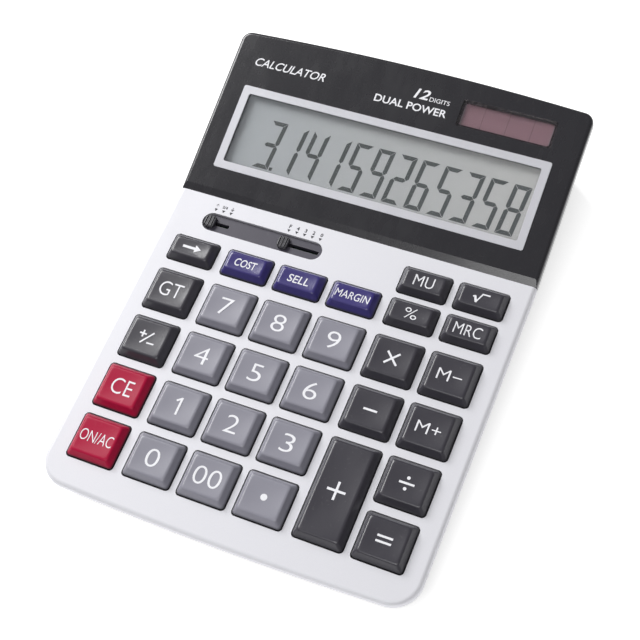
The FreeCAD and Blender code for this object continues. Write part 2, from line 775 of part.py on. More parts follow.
def lap_rib():
    """Rib round the lower case that locates the covers, in the keyboard frame."""
    outer = WALL + LAP_GAP
    inner = outer + LAP_THICKNESS
    front = prism(keyboard_outline(outer, OVERLAP), -LAP_HEIGHT, LAP_HEIGHT)
    front = front.cut(prism(keyboard_outline(inner, 2 * OVERLAP), -SKIRT_DEPTH, SKIRT_DEPTH))
    level = -DISPLAY_SKIRT
    rear = prism(display_outline(outer, OVERLAP), level - LAP_HEIGHT, level + LAP_HEIGHT)
    rear = rear.cut(prism(display_outline(inner, 2 * OVERLAP), 2 * level, 0))
    front = placed(front, RIM_ON_KEYBOARD).common(front_of_mitre(0))
    rear = placed(rear, DISPLAY_ON_KEYBOARD).common(behind_mitre(0))
    return joined([front, rear])


def door_rear_y():
    """Rear edge of the closed battery door: just inside the rear wall at the floor."""
    rim = on_table(DISPLAY_FRAME, 0, DISPLAY_LENGTH - LOWER_STEP, -DISPLAY_SKIRT)
    lean = math.tan(math.radians(LOWER_REAR_LEAN))
    return rim.y - (rim.z - FOOT_HEIGHT) * lean - DOOR_REAR_SETBACK


DOOR_REAR = door_rear_y()
DOOR_FRONT = DOOR_REAR - DOOR_LENGTH
CELL_Y = DOOR_FRONT + CELL_FROM_DOOR_FRONT
DOOR_TOP = FOOT_HEIGHT + DOOR_THICKNESS
TRACK_TOP = DOOR_TOP + DOOR_CLEARANCE
CELL_BOTTOM = TRACK_TOP
CELL_TOP = CELL_BOTTOM + CELL_HEIGHT
WELL_TOP = CELL_TOP + CONTACT_ROOM
WELL_FRONT = CELL_Y - CELL_DIAMETER / 2 - CELL_CLEARANCE - WELL_WALL
CONTACT_SLOT = CELL_DIAMETER * CONTACT_SHARE


def door_section(clearance):
    """Cross-section of the battery door, as (x, z) points, grown by a clearance."""
    half = DOOR_WIDTH / 2 + clearance
    wing = half + DOOR_TONGUE
    bottom = FOOT_HEIGHT - (PAST if clearance else 0)
    top = DOOR_TOP + clearance
    wing_bottom = DOOR_TOP - DOOR_TONGUE_THICKNESS - clearance
    return [
        (-half, bottom),
        (half, bottom),
        (half, wing_bottom),
        (wing, wing_bottom),
        (wing, top),
        (-wing, top),
        (-wing, wing_bottom),
        (-half, wing_bottom),
    ]


def battery_well():
    """Round well over the door track, with a closed top, open towards the door."""
    ring = CELL_DIAMETER + 2 * CELL_CLEARANCE
    outer = ring + 2 * WELL_WALL
    well = cylinder(0, CELL_Y, FOOT_HEIGHT + FLOOR_THICKNESS, WELL_TOP + WELL_WALL, outer)
    return well, cylinder(0, CELL_Y, 0, WELL_TOP, ring)


def lower_case():
    """Dark lower case with posts, door track, battery well and foot recesses."""
    outer = drafted_block(LOWER_STEP, FOOT_HEIGHT, RIM_GAP)
    inner = drafted_block(LOWER_STEP + LOWER_WALL, FOOT_HEIGHT + FLOOR_THICKNESS, -PAST / 2)
    case = outer.cut(inner)
    track_half = DOOR_WIDTH / 2 + DOOR_TONGUE + DOOR_CLEARANCE + WALL
    pad_front = DOOR_FRONT - WALL - DOOR_CLEARANCE
    pad_top = TRACK_TOP + DOOR_CEILING
    pad = box(-track_half, track_half, pad_front, DOOR_REAR + FAR, FOOT_HEIGHT, pad_top)
    pad = pad.common(outer)
    well, cell_space = battery_well()
    additions = [pad, well, placed(lap_rib(), KEYBOARD_FRAME)]
    cuts = [cell_space]
    track_front = DOOR_FRONT - DOOR_CLEARANCE
    cuts.append(front_prism(door_section(DOOR_CLEARANCE), track_front, DOOR_REAR + FAR))
    post_limits = drafted_block(LOWER_STEP + POST_GAP, FOOT_HEIGHT, RIM_GAP)
    for place in case_screw_places():
        split = place.z - CASE_BOSS_LENGTH - POST_GAP
        seat = split - CASE_WEB
        post = cylinder(place.x, place.y, FOOT_HEIGHT, split, CASE_POST_DIAMETER)
        additions.append(post.common(post_limits))
        head_bore = CASE_HEAD_DIAMETER + HEAD_CLEARANCE
        cuts.append(cylinder(place.x, place.y, 0, seat, head_bore))
        shank_bore = CASE_SCREW_DIAMETER + 2 * SHANK_CLEARANCE
        cuts.append(cylinder(place.x, place.y, 0, split + PAST, shank_bore))
        boss_room = CASE_BOSS_DIAMETER + 2 * BOSS_CLEARANCE
        cuts.append(cylinder(place.x, place.y, split, split + CASE_BOSS_LENGTH, boss_room))
    for x, y in foot_places():
        cuts.append(cylinder(x, y, 0, FOOT_HEIGHT + FOOT_SINK, FOOT_DIAMETER + HEAD_CLEARANCE))
    slot_half = CONTACT_SLOT / 2
    slot_far = WELL_FRONT - PAST
    cuts.append(box(-slot_half, slot_half, slot_far, CELL_Y, CELL_TOP, WELL_TOP))
    return joined([case] + additions).cut(cuts)


def battery_door():
    """Sliding door with side tongues and grip grooves."""
    door = front_prism(door_section(0), DOOR_FRONT, DOOR_REAR)
    first = DOOR_REAR - GRIP_SETBACK
    half = DOOR_WIDTH / 4
    grooves = []
    for index in range(GRIP_COUNT):
        rear = first - index * GRIP_PITCH
        grooves.append(box(-half, half, rear - GRIP_GROOVE, rear, 0, FOOT_HEIGHT + GRIP_DEPTH))
    return door.cut(grooves)


def rubber_feet():
    """Four round feet set in the underside."""
    feet = []
    for x, y in foot_places():
        foot = cylinder(x, y, 0, FOOT_HEIGHT + FOOT_SINK, FOOT_DIAMETER)
        rim = [edge for edge in foot.Edges if edge.BoundBox.ZMax < FINE]
        feet.append(foot.makeChamfer(FOOT_CHAMFER, rim))
    return Part.makeCompound(feet)


# Keys and switches


def key_cap(key):
    """Hollow key with a raised, narrower top, side tabs and a plunger, in its own frame."""
    width = key.width - 2 * KEY_CLEARANCE
    depth = key.depth - 2 * KEY_CLEARANCE
    corner = OPENING_CORNER - KEY_CLEARANCE
    skirt = prism(rounded_rectangle(width, depth, corner), KEY_BOTTOM, KEY_SHOULDER)
    foot = rounded_rectangle(width, depth, corner, KEY_SHOULDER)
    crown = rounded_rectangle(
        width - 2 * KEY_TOP_INSET, depth - 2 * KEY_TOP_INSET, KEY_TOP_CORNER, KEY_RISE
    )
    cap = Part.makeLoft([foot, crown], True, True)
    body = joined([skirt, cap])
    rim = [edge for edge in body.Edges if edge.BoundBox.ZMin > KEY_RISE - FINE]
    body = body.makeFillet(KEY_EDGE_ROUND, rim)
    ceiling = KEY_RISE - KEY_TOP_THICKNESS
    inside = KEY_TOP_INSET + KEY_WALL
    hollow_outline = rounded_rectangle(width - 2 * inside, depth - 2 * inside, corner / 2)
    body = body.cut(prism(hollow_outline, KEY_BOTTOM - PAST, ceiling))
    reach = width / 2 + KEY_CLEARANCE + TAB_REACH
    tab = box(-reach, reach, -TAB_WIDTH / 2, TAB_WIDTH / 2, KEY_BOTTOM, KEY_BOTTOM + TAB_THICKNESS)
    tab = tab.cut(box(-width / 2 + KEY_WALL, width / 2 - KEY_WALL, -FAR, FAR, -FAR, FAR))
    plunger = cylinder(0, 0, KEY_BOTTOM, ceiling, min(PLUNGER_DIAMETER, depth - 2 * inside + PAST))
    return joined([body, tab, plunger])


def switch_plate():
    """Plate that closes the switch slot from below, with a channel for each knob's stem."""
    top = -PLATE_RECESS
    under = -COVER_THICKNESS
    plate = prism(slot_outline(-SLOT_FIT), under, top)
    flange = prism(slot_outline(PLATE_FLANGE), under - PLATE_FLANGE_THICKNESS, under)
    channels = []
    half_width = STEM_WIDTH / 2 + STEM_CLEARANCE
    half_length = STEM_LENGTH / 2 + STEM_CLEARANCE
    y = -SLOT_FROM_SEAM
    for start, end in (ROUNDING_RANGE, DECIMAL_RANGE):
        channels.append(
            box(start - half_length, end + half_length, y - half_width, y + half_width, -FAR, 0)
        )
    return joined([plate, flange]).cut(channels)


def switch_knob(x):
    """Ribbed knob over the plate, stem through it and shoe under it, at place x."""
    y = -SLOT_FROM_SEAM
    under_plate = -COVER_THICKNESS - PLATE_FLANGE_THICKNESS
    base = KNOB_LIFT - PLATE_RECESS
    cap = prism(rounded_rectangle(KNOB_LENGTH, KNOB_WIDTH, KNOB_CORNER), base, KNOB_RISE)
    rim = [edge for edge in cap.Edges if edge.BoundBox.ZMin > KNOB_RISE - FINE]
    cap = cap.makeFillet(KNOB_ROUND, rim)
    grooves = []
    for index in range(RIB_COUNT):
        centre = (index - (RIB_COUNT - 1) / 2) * RIB_PITCH
        left = centre - RIB_GROOVE / 2
        grooves.append(box(left, left + RIB_GROOVE, -FAR, FAR, KNOB_RISE - RIB_DEPTH, FAR))
    cap = cap.cut(grooves)
    shoe_top = under_plate - SHOE_GAP
    shoe_half = SHOE_LENGTH / 2
    shoe_side = SHOE_WIDTH / 2
    stem_half = STEM_LENGTH / 2
    stem_side = STEM_WIDTH / 2
    stem = box(-stem_half, stem_half, -stem_side, stem_side, shoe_top - SHOE_THICKNESS, base)
    shoe = box(-shoe_half, shoe_half, -shoe_side, shoe_side, shoe_top - SHOE_THICKNESS, shoe_top)
    return moved(joined([cap, stem, shoe]), x, y)


def switch_wiper(x):
    """Bent contact strip under a knob's shoe, ending just over the board."""
    top = -COVER_THICKNESS - PLATE_FLANGE_THICKNESS - SHOE_GAP - SHOE_THICKNESS
    low = BOARD_TOP + WIPER_GAP
    half = SHOE_LENGTH / 2
    thick = WIPER_STRIP
    foot = half - WIPER_SPLAY
    toe = foot - WIPER_TOE
    right = [
        (half, top),
        (foot, low),
        (toe, low),
        (toe, low + thick),
        (foot - thick, low + thick),
        (half - thick, top - thick),
    ]
    profile = right + [(-px, pz) for px, pz in reversed(right)]
    strip = front_prism(profile, -WIPER_WIDTH / 2, WIPER_WIDTH / 2)
    return moved(strip, x, -SLOT_FROM_SEAM)


ROUNDING_RANGE = switch_range(ROUNDING_START_X, ROUNDING_PITCH, ROUNDING_PLACES)
DECIMAL_RANGE = switch_range(DECIMAL_START_X, DECIMAL_PITCH, DECIMAL_PLACES)


# Board and dome sheet


def main_board():
    """Circuit board under the whole key field, with screw holes."""
    half = FIELD_RIGHT + BOARD_SIDE_MARGIN
    front = FIELD_FRONT - BOARD_SIDE_MARGIN
    board = box(-half, half, front, -BOARD_REAR, BOARD_BOTTOM, BOARD_TOP)
    bore = SMALL_SCREW_DIAMETER + 2 * SHANK_CLEARANCE
    holes = [cylinder(x, y, -FAR, 0, bore) for x, y in board_screw_places()]
    return board.cut(holes)


def dome_sheet():
    """Rubber sheet on the board with one hollow dome under each key."""
    columns = column_centres()
    rows = row_centres()
    right = FIELD_RIGHT + SHEET_MARGIN
    front = FIELD_FRONT - SHEET_MARGIN
    rear = rows[1] + SMALL_OPENING_DEPTH / 2 + SHEET_MARGIN
    top_left = columns[4] - KEY_OPENING_WIDTH / 2 - SHEET_MARGIN
    top_rear = rows[0] + SMALL_OPENING_DEPTH / 2 + SHEET_MARGIN / 2
    field = box(-right, right, front, rear, BOARD_TOP, SHEET_TOP)
    corner = box(top_left, right, rear, top_rear, BOARD_TOP, SHEET_TOP)
    domes = []
    hollows = []
    for key in KEYS:
        base = DOME_BASE_DIAMETER
        peak = DOME_TOP_DIAMETER
        skin = 2 * DOME_SKIN
        ceiling = DOME_TOP - 2 * DOME_SKIN
        domes.append(cone(key.x, key.y, SHEET_TOP, DOME_TOP, base, peak))
        hollows.append(cone(key.x, key.y, BOARD_TOP, ceiling, base - skin, peak - skin))
    bore = SMALL_BOSS_DIAMETER + 2 * BOSS_CLEARANCE
    hollows += [cylinder(x, y, -FAR, 0, bore) for x, y in board_screw_places()]
    return joined([field, corner] + domes).cut(hollows)


def chip_blob():
    """Sealed chip under the board: a low round dome."""
    base = CHIP_DIAMETER / 2
    radius = (base**2 + CHIP_HEIGHT**2) / (2 * CHIP_HEIGHT)
    ball = Part.makeSphere(radius, Vector(0, -CHIP_FROM_SEAM, BOARD_BOTTOM + radius - CHIP_HEIGHT))
    return ball.common(box(-FAR, FAR, -FAR, FAR, -FAR, BOARD_BOTTOM))


def board_screws():
    """Six small screws that hold the board to the keyboard cover."""
    screws = []
    for x, y in board_screw_places():
        screws.append(
            screw(
                x,
                y,
                BOARD_BOTTOM,
                SMALL_SCREW_DIAMETER,
                SMALL_HEAD_DIAMETER,
                SMALL_HEAD_HEIGHT,
                BOARD_THICKNESS + SMALL_BITE - POST_GAP,
            )
        )
    return Part.makeCompound(screws)


def case_screws():
    """Six screws from the underside into the covers' bosses."""
    screws = []
    for place in case_screw_places():
        seat = place.z - CASE_BOSS_LENGTH - POST_GAP - CASE_WEB
        screws.append(
            screw(
                place.x,
                place.y,
                seat,
                CASE_SCREW_DIAMETER,
                CASE_HEAD_DIAMETER,
                CASE_HEAD_HEIGHT,
                CASE_WEB + CASE_BITE,
            )
        )
    return Part.makeCompound(screws)


# Display


def display_frame():
    """Flat silver trim frame."""
    outer = prism(frame_opening(FRAME_BORDER), WINDOW_TOP, FRAME_PROUD)
    return outer.cut(prism(frame_opening(0), -FAR, FAR))


def display_window():
    """Clear window under the trim frame."""
    return prism(frame_opening(FRAME_BORDER), WINDOW_BOTTOM, WINDOW_TOP)


def lcd_cell():
    """Glass sandwich of the display."""
    return prism(frame_opening(LCD_MARGIN), LCD_BOTTOM, LCD_TOP)


def holder_half_width():
    """Half the width of the LCD holder without its ears."""
    return FRAME_WIDTH / 2 - FRAME_BORDER + LCD_MARGIN + HOLDER_FIT + HOLDER_RIM


def lcd_holder():
    """Tray that clamps the glass under the display cover, with four screw ears."""
    rim_top = -COVER_THICKNESS
    margin = LCD_MARGIN + HOLDER_FIT
    tray = prism(frame_opening(margin + HOLDER_RIM), HOLDER_BOTTOM, rim_top)
    pocket = prism(frame_opening(margin), LCD_BOTTOM, FAR)
    back = prism(frame_opening(-HOLDER_LEDGE), -FAR, FAR)
    bore = SMALL_SCREW_DIAMETER + 2 * SHANK_CLEARANCE
    inner = holder_half_width() - HOLDER_RIM / 2
    ears = []
    holes = []
    for x, y in holder_screw_places():
        outer_x = math.copysign(holder_half_width() + EAR_REACH, x)
        inner_x = math.copysign(inner, x)
        low = min(outer_x, inner_x)
        high = max(outer_x, inner_x)
        half = EAR_WIDTH / 2
        ears.append(box(low, high, y - half, y + half, HOLDER_BOTTOM, LCD_BOTTOM))
        holes.append(cylinder(x, y, -FAR, 0, bore))
    return joined([tray] + ears).cut([pocket, back] + holes)


def holder_screws():
    """Four small screws through the holder's ears."""
    screws = []
    for x, y in holder_screw_places():
        screws.append(
            screw(
                x,
                y,
                HOLDER_BOTTOM,
                SMALL_SCREW_DIAMETER,
                SMALL_HEAD_DIAMETER,
                SMALL_HEAD_HEIGHT,
                SMALL_BITE - POST_GAP,
            )
        )
    return Part.makeCompound(screws)


def display_ribbon():
    """Flat cable from the back of the glass to the underside of the board."""
    land_end = FRAME_NEAR + FRAME_BORDER + HOLDER_LEDGE + RIBBON_LAND + RIBBON_MARGIN
    land_start = land_end - RIBBON_LAND
    rim_front = FRAME_NEAR + FRAME_BORDER - LCD_MARGIN - HOLDER_FIT - HOLDER_RIM
    on_display = [
        (land_end, LCD_BOTTOM),
        (land_start, LCD_BOTTOM),
        (land_start - RIBBON_STEP, HOLDER_BOTTOM - RIBBON_GAP),
        (rim_front - RIBBON_MARGIN, HOLDER_BOTTOM - RIBBON_GAP),
    ]
    upper = [DISPLAY_ON_KEYBOARD.multVec(Vector(0, s, n)) for s, n in on_display]
    upper += [
        Vector(0, -BOARD_REAR + RIBBON_MARGIN, BOARD_BOTTOM),
        Vector(0, -BOARD_REAR - RIBBON_LAND, BOARD_BOTTOM),
    ]
    top = [(point.y, point.z) for point in upper]
    bottom = [(y, z - RIBBON_THICKNESS) for y, z in reversed(top)]
    return side_prism(top + bottom, -RIBBON_WIDTH / 2, RIBBON_WIDTH / 2)


def solar_window():
    """Clear window over the solar cell."""
    top = -SOLAR_WINDOW_SINK
    return prism(solar_opening(0), top - SOLAR_WINDOW_THICKNESS, top)


def solar_cell():
    """Glass plate with the photocells, behind the solar window."""
    return prism(solar_opening(SOLAR_LEDGE), SOLAR_BOTTOM, SOLAR_TOP)


def solar_pad():
    """Adhesive foam pad on the back of the solar cell."""
    return prism(solar_opening(-SOLAR_PAD_INSET), SOLAR_BOTTOM - SOLAR_PAD_THICKNESS, SOLAR_BOTTOM)


def solar_leads():
    """Two wires from the solar cell, under the holder, to the board."""
    leads = []
    start_y = (SOLAR_NEAR + SOLAR_FAR) / 2
    start_x = SOLAR_CENTRE_X - SOLAR_WIDTH / 2 + SOLAR_PAD_INSET - WIRE_DIAMETER
    for index in range(2):
        x = start_x - index * WIRE_SPACING / 2
        depth = HOLDER_BOTTOM - WIRE_DROP
        board_y = -BOARD_REAR - WIRE_REACH
        path = [
            DISPLAY_ON_KEYBOARD.multVec(Vector(x, start_y, SOLAR_BOTTOM - WIRE_GAP)),
            DISPLAY_ON_KEYBOARD.multVec(Vector(x, start_y, depth)),
            DISPLAY_ON_KEYBOARD.multVec(Vector(x, 0, depth)),
            Vector(x, board_y, BOARD_BOTTOM - WIRE_DROP),
            Vector(x, board_y, BOARD_BOTTOM - WIRE_GAP),
        ]
        leads.append(insulated_wire(path))
    return Part.makeCompound(leads)


# Battery


def battery_cell():
    """Button cell with its raised negative cap, in the table frame."""
    shoulder = CELL_TOP - CELL_CAP_HEIGHT
    can = cylinder(0, CELL_Y, CELL_BOTTOM, shoulder, CELL_DIAMETER)
    cap = cylinder(0, CELL_Y, shoulder, CELL_TOP, CELL_DIAMETER * CELL_CAP_SHARE)
    return joined([can, cap])


def battery_contact_minus():
    """Leaf on the ceiling of the well, with its tail out through the slot."""
    half = CONTACT_SLOT / 2 - CONTACT_SIDE_GAP
    rear = CELL_Y + CELL_DIAMETER / 4
    bottom = CELL_TOP + CONTACT_GAP
    return box(-half, half, WELL_FRONT - CONTACT_TAIL, rear, bottom, bottom + CONTACT_THICKNESS)


def battery_contact_plus():
    """Bent leaf that touches the can's side, in the gap between cell and well."""
    inner = CELL_DIAMETER + 2 * CONTACT_GAP
    bottom = CELL_BOTTOM + CONTACT_END_GAP
    top = CELL_TOP - CELL_CAP_HEIGHT - CONTACT_END_GAP
    ring = cylinder(0, CELL_Y, bottom, top, inner + 2 * CONTACT_THICKNESS)
    ring = ring.cut(cylinder(0, CELL_Y, 0, FAR, inner))
    half = CONTACT_SLOT / 2
    return ring.common(box(-half, half, CELL_Y, CELL_Y + FAR, 0, FAR))


def battery_leads():
    """Two wires from the battery contacts to the board, in the table frame."""
    leads = []
    tail_y = WELL_FRONT - CONTACT_TAIL / 2
    board_y = -BOARD_REAR - WIRE_REACH
    for side in (-1, 1):
        x = side * WIRE_SPACING / 2
        start = Vector(x, tail_y, CELL_TOP + CONTACT_GAP + CONTACT_THICKNESS + WIRE_GAP)
        below = on_table(KEYBOARD_FRAME, x, board_y, BOARD_BOTTOM - WIRE_DROP)
        end = on_table(KEYBOARD_FRAME, x, board_y, BOARD_BOTTOM - WIRE_GAP)
        path = [start, start + Vector(0, 0, WIRE_DROP), below, end]
        leads.append(insulated_wire(path))
    return Part.makeCompound(leads)


NODES = {
    "keyboard_cover": (keyboard_cover, KEYBOARD_FRAME),
    "display_cover": (display_cover, KEYBOARD_FRAME),
    "lower_case": (lower_case, None),
    "battery_door": (battery_door, None),
    "rubber_feet": (rubber_feet, None),
    "case_screws": (case_screws, None),
    "switch_plate": (switch_plate, KEYBOARD_FRAME),
    "main_board": (main_board, KEYBOARD_FRAME),
    "dome_sheet": (dome_sheet, KEYBOARD_FRAME),
    "chip_blob": (chip_blob, KEYBOARD_FRAME),
    "board_screws": (board_screws, KEYBOARD_FRAME),
    "display_frame": (display_frame, DISPLAY_FRAME),
    "display_window": (display_window, DISPLAY_FRAME),
    "lcd_cell": (lcd_cell, DISPLAY_FRAME),
    "lcd_holder": (lcd_holder, DISPLAY_FRAME),
    "holder_screws": (holder_screws, DISPLAY_FRAME),
    "display_ribbon": (display_ribbon, KEYBOARD_FRAME),
    "solar_window": (solar_window, DISPLAY_FRAME),
    "solar_cell": (solar_cell, DISPLAY_FRAME),
    "solar_pad": (solar_pad, DISPLAY_FRAME),
    "solar_leads": (solar_leads, KEYBOARD_FRAME),
    "battery_cell": (battery_cell, None),
    "battery_contact_minus": (battery_contact_minus, None),
    "battery_contact_plus": (battery_contact_plus, None),
    "battery_leads": (battery_leads, None),
}


def all_shapes():
    """Every node's shape in the table frame, by name."""
    shapes = {}
    for name, (make, frame) in NODES.items():
        shape = make()
        shapes[name] = placed(shape, frame) if frame else shape
    for key in KEYS:
        shapes[key.name] = placed(moved(key_cap(key), key.x, key.y), KEYBOARD_FRAME)
    for name, places in (("rounding", ROUNDING_RANGE), ("decimal", DECIMAL_RANGE)):
        shapes[name + "_knob"] = placed(switch_knob(places[0]), KEYBOARD_FRAME)
        shapes[name + "_wiper"] = placed(switch_wiper(places[0]), KEYBOARD_FRAME)
    return shapes


def main():
    """Write one STEP file per node and print the sizes that describe the body."""
    os.makedirs("parts", exist_ok=True)
    for name, shape in all_shapes().items():
        shape.exportStep(os.path.join("parts", name + ".step"))
        print(f"{name}: valid {shape.isValid()}, {len(shape.Solids)} solids, {shape.Volume:.1f} mm3")
    print(f"length {FRONT_REACH + REAR_REACH:.2f}, seam at y {SEAM_Y:.2f}, rear {REAR_HEIGHT:.2f}")


main()
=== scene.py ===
"""Looks of a desk calculator: finishes for its CAD nodes, moulded key caps, printed marks, LCD
digits, studio floor, lights and camera.

Lengths are in metres in the table frame unless a name or a docstring says millimetres. The
keyboard and the display are tilted faces, and work on them is done in the turned coordinates
of a Face: x to the right, y up the slope, z square to the face.
"""

import functools
import json
import logging
import math
import operator
from dataclasses import dataclass
from enum import Enum

import bpy
import numpy as np
from mathutils import Matrix, Vector


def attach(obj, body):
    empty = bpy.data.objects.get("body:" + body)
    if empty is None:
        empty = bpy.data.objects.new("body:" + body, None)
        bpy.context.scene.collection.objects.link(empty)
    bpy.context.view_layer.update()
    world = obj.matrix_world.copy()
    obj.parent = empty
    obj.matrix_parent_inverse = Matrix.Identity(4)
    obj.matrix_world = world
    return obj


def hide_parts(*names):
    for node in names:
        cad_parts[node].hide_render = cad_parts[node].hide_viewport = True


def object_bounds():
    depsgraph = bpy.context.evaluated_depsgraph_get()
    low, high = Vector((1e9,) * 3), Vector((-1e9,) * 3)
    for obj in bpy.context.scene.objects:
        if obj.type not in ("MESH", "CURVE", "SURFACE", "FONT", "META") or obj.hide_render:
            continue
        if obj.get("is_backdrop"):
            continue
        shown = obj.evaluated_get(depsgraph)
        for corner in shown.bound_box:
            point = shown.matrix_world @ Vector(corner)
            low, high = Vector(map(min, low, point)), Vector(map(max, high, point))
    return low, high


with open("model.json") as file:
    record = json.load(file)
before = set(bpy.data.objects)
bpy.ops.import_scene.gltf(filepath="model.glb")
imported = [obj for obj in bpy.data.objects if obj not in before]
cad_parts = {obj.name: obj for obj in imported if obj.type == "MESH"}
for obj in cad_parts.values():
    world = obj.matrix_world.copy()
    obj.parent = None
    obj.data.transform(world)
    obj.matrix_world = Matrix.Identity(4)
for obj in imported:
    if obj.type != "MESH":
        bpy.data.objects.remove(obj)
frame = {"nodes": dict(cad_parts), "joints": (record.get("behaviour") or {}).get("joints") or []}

LOG = logging.getLogger("calculator")
MM = 0.001
DISPLAY_TILT = math.radians(11.5)  # display against the keyboard
PRINT_DEPTH = 0.04 * MM  # thickness of the print on the covers
PRINT_LIFT = 0.01 * MM  # middle of that print above its face
LEGEND_DEPTH = 0.06 * MM  # thickness of a key's legend
LEGEND_LIFT = 0.02 * MM  # middle of a legend above its key's top
SEGMENT_DEPTH = 0.06 * MM  # thickness of the LCD's segments
SEGMENT_SINK = 0.02 * MM  # how far they sit in the glass
LAST_DIGIT = (8.2, 14.3)  # last digit from the trim's right and near edges, in millimetres
PAINTED_GAP_SHADE_BAND = (0.1 * MM, 1.1 * MM)  # painted shade on a key's sides runs from dark to none over these heights
MARK_PITCH = (3.1, 3.15)  # distance between the marks of the two switches, in millimetres
MARK_ARROW = 5.2  # middle of the triangles above the knobs, in millimetres
MARK_WORD = 7.0  # middle of the small legends above the knobs, in millimetres
Colour = tuple[float, float, float, float]


def srgb(red: int, green: int, blue: int) -> Colour:
    """Linear colour of a screen colour given as three values up to 255."""
    screen = np.array([red, green, blue]) / 255
    linear = np.where(screen <= 0.04045, screen / 12.92, ((screen + 0.055) / 1.055) ** 2.4)
    return (*(float(value) for value in linear), 1.0)


# Meshes


@dataclass(frozen=True)
class Box:
    """Extents of a piece in a face's coordinates.

    Args:
        low: lowest corner
        high: highest corner
    """

    low: np.ndarray
    high: np.ndarray

    @property
    def centre(self) -> np.ndarray:
        """Middle of the box."""
        return (self.low + self.high) / 2

    @property
    def size(self) -> np.ndarray:
        """Side lengths of the box."""
        return self.high - self.low


@dataclass(frozen=True)
class Face:
    """A plane of the body that slopes up towards the back.

    Args:
        tilt: slope against the table, in radians
    """

    tilt: float

    def turn(self) -> np.ndarray:
        """Rotation about the X axis from this face's coordinates to the table frame."""
        c, s = math.cos(self.tilt), math.sin(self.tilt)
        return np.array([[1, 0, 0], [0, c, -s], [0, s, c]])

    def lay(self, points: np.ndarray) -> np.ndarray:
        """Carries points of this face to the table frame.

        Args:
            points: (n, 3) array in the face's coordinates

        Returns:
            (n, 3) array in the table frame
        """
        return points @ self.turn().T

    def measure(self, node: str) -> Box:
        """Measures a CAD node square to this face.

        Args:
            node: name of the CAD node

        Returns:
            its extents in the face's coordinates
        """
        mesh = frame["nodes"][node].data
        points = np.empty(len(mesh.vertices) * 3)
        mesh.vertices.foreach_get("co", points)
        turned = points.reshape(-1, 3) @ self.turn()
        return Box(turned.min(0), turned.max(0))


@dataclass
class Skin:
    """Vertices and faces of a piece before it becomes an object.

    Args:
        points: (n, 3) array of vertices
        faces: tuples of vertex numbers, outwards
    """

    points: np.ndarray
    faces: list

    def __add__(self, other: "Skin") -> "Skin":
        """Both skins in one."""
        start = len(self.points)
        later = [tuple(index + start for index in face) for face in other.faces]
        return Skin(np.vstack([self.points, other.points]), self.faces + later)

    def shifted(self, x: float, y: float, z: float = 0.0) -> "Skin":
        """The same skin, moved."""
        return Skin(self.points + np.array([x, y, z]), self.faces)

    def laid(self, face: Face) -> "Skin":
        """The same skin, carried from a face's coordinates to the table frame."""
        return Skin(face.lay(self.points), self.faces)


def joined(parts: list[Skin]) -> Skin:
    """All the skins of a list in one, in its order."""
    return functools.reduce(operator.add, parts)


def loft(rings: np.ndarray) -> Skin:
    """Closed skin through rings of points, swept from its bottom middle to its top middle.

    Each quad joins point j of ring i to point j + 1 and to ring i + 1, and a fan closes both
    ends on the middle of the last ring there.

    Args:
        rings: (m, n, 3) array, each ring anticlockwise from above

    Returns:
        the skin, facing outwards
    """
    count, around, _ = rings.shape
    grid = np.arange(count * around).reshape(count, around)
    after = np.roll(grid, -1, axis=1)
    quads = np.stack([grid[:-1], after[:-1], after[1:], grid[1:]], axis=-1).reshape(-1, 4)
    bottom, top = count * around, count * around + 1
    fans = [
        np.stack([np.full(around, bottom), after[0], grid[0]], axis=-1),
        np.stack([np.full(around, top), grid[-1], after[-1]], axis=-1),
    ]
    poles = np.stack([rings[0].mean(0), rings[-1].mean(0)])
    points = np.vstack([rings.reshape(-1, 3), poles])
    faces = quads.tolist() + np.vstack(fans).tolist()
    return Skin(points, [tuple(face) for face in faces])


def outline(arc: int, side: int) -> np.ndarray:
    """Weights that place points round a rectangle with round corners.

    A point is at x = u (a - r) + r c and y = v (b - r) + r s, where a and b are the half sides
    and r is the corner radius. On a corner u and v are its signs, and c and s run through the
    cosine and sine of its quarter turn. On a side, u and v run to the next corner.

    Args:
        arc: points on each corner
        side: points between two corners

    Returns:
        (4 (arc + side), 4) array of u, v, c and s
    """
    signs = np.array([(1, 1), (-1, 1), (-1, -1), (1, -1)], float)
    parts = []
    for corner, here in enumerate(signs):
        there = signs[(corner + 1) % 4]
        angles = (corner + np.linspace(0, 1, arc)) * math.pi / 2
        bend = np.stack([np.cos(angles), np.sin(angles)], axis=-1)
        share = np.linspace(0, 1, side + 2)[1:-1, None]
        parts.append(np.hstack([np.tile(here, (arc, 1)), bend]))
        parts.append(np.hstack([here + share * (there - here), np.tile(bend[-1], (side, 1))]))
    return np.vstack(parts)


def rings_from(levels: np.ndarray, arc: int = 6, side: int = 5) -> np.ndarray:
    """Rounded rectangles, one for each level of a profile.

    Args:
        levels: (m, 4) array of half width, half depth, corner radius and height
        arc: points on each corner
        side: points between two corners

    Returns:
        (m, 4 (arc + side), 3) array of points
    """
    u, v, c, s = outline(arc, side).T
    a, b, r, z = (levels[:, index, None] for index in range(4))
    x = u * (a - r) + r * c
    y = v * (b - r) + r * s
    return np.stack([x, y, np.broadcast_to(z, x.shape)], axis=-1)


def slab(corners: np.ndarray, low: float, high: float) -> Skin:
    """Upright prism over a polygon.

    Args:
        corners: (n, 2) array, anticlockwise from above
        low: bottom level
        high: top level

    Returns:
        the closed skin
    """
    count = len(corners)
    levels = [np.column_stack([corners, np.full(count, level)]) for level in (low, high)]
    numbers = np.arange(count)
    after = np.roll(numbers, -1)
    walls = np.stack([numbers, after, after + count, numbers + count], axis=-1)
    faces = [tuple(numbers[::-1].tolist()), tuple((numbers + count).tolist())]
    return Skin(np.vstack(levels), faces + [tuple(wall) for wall in walls.tolist()])


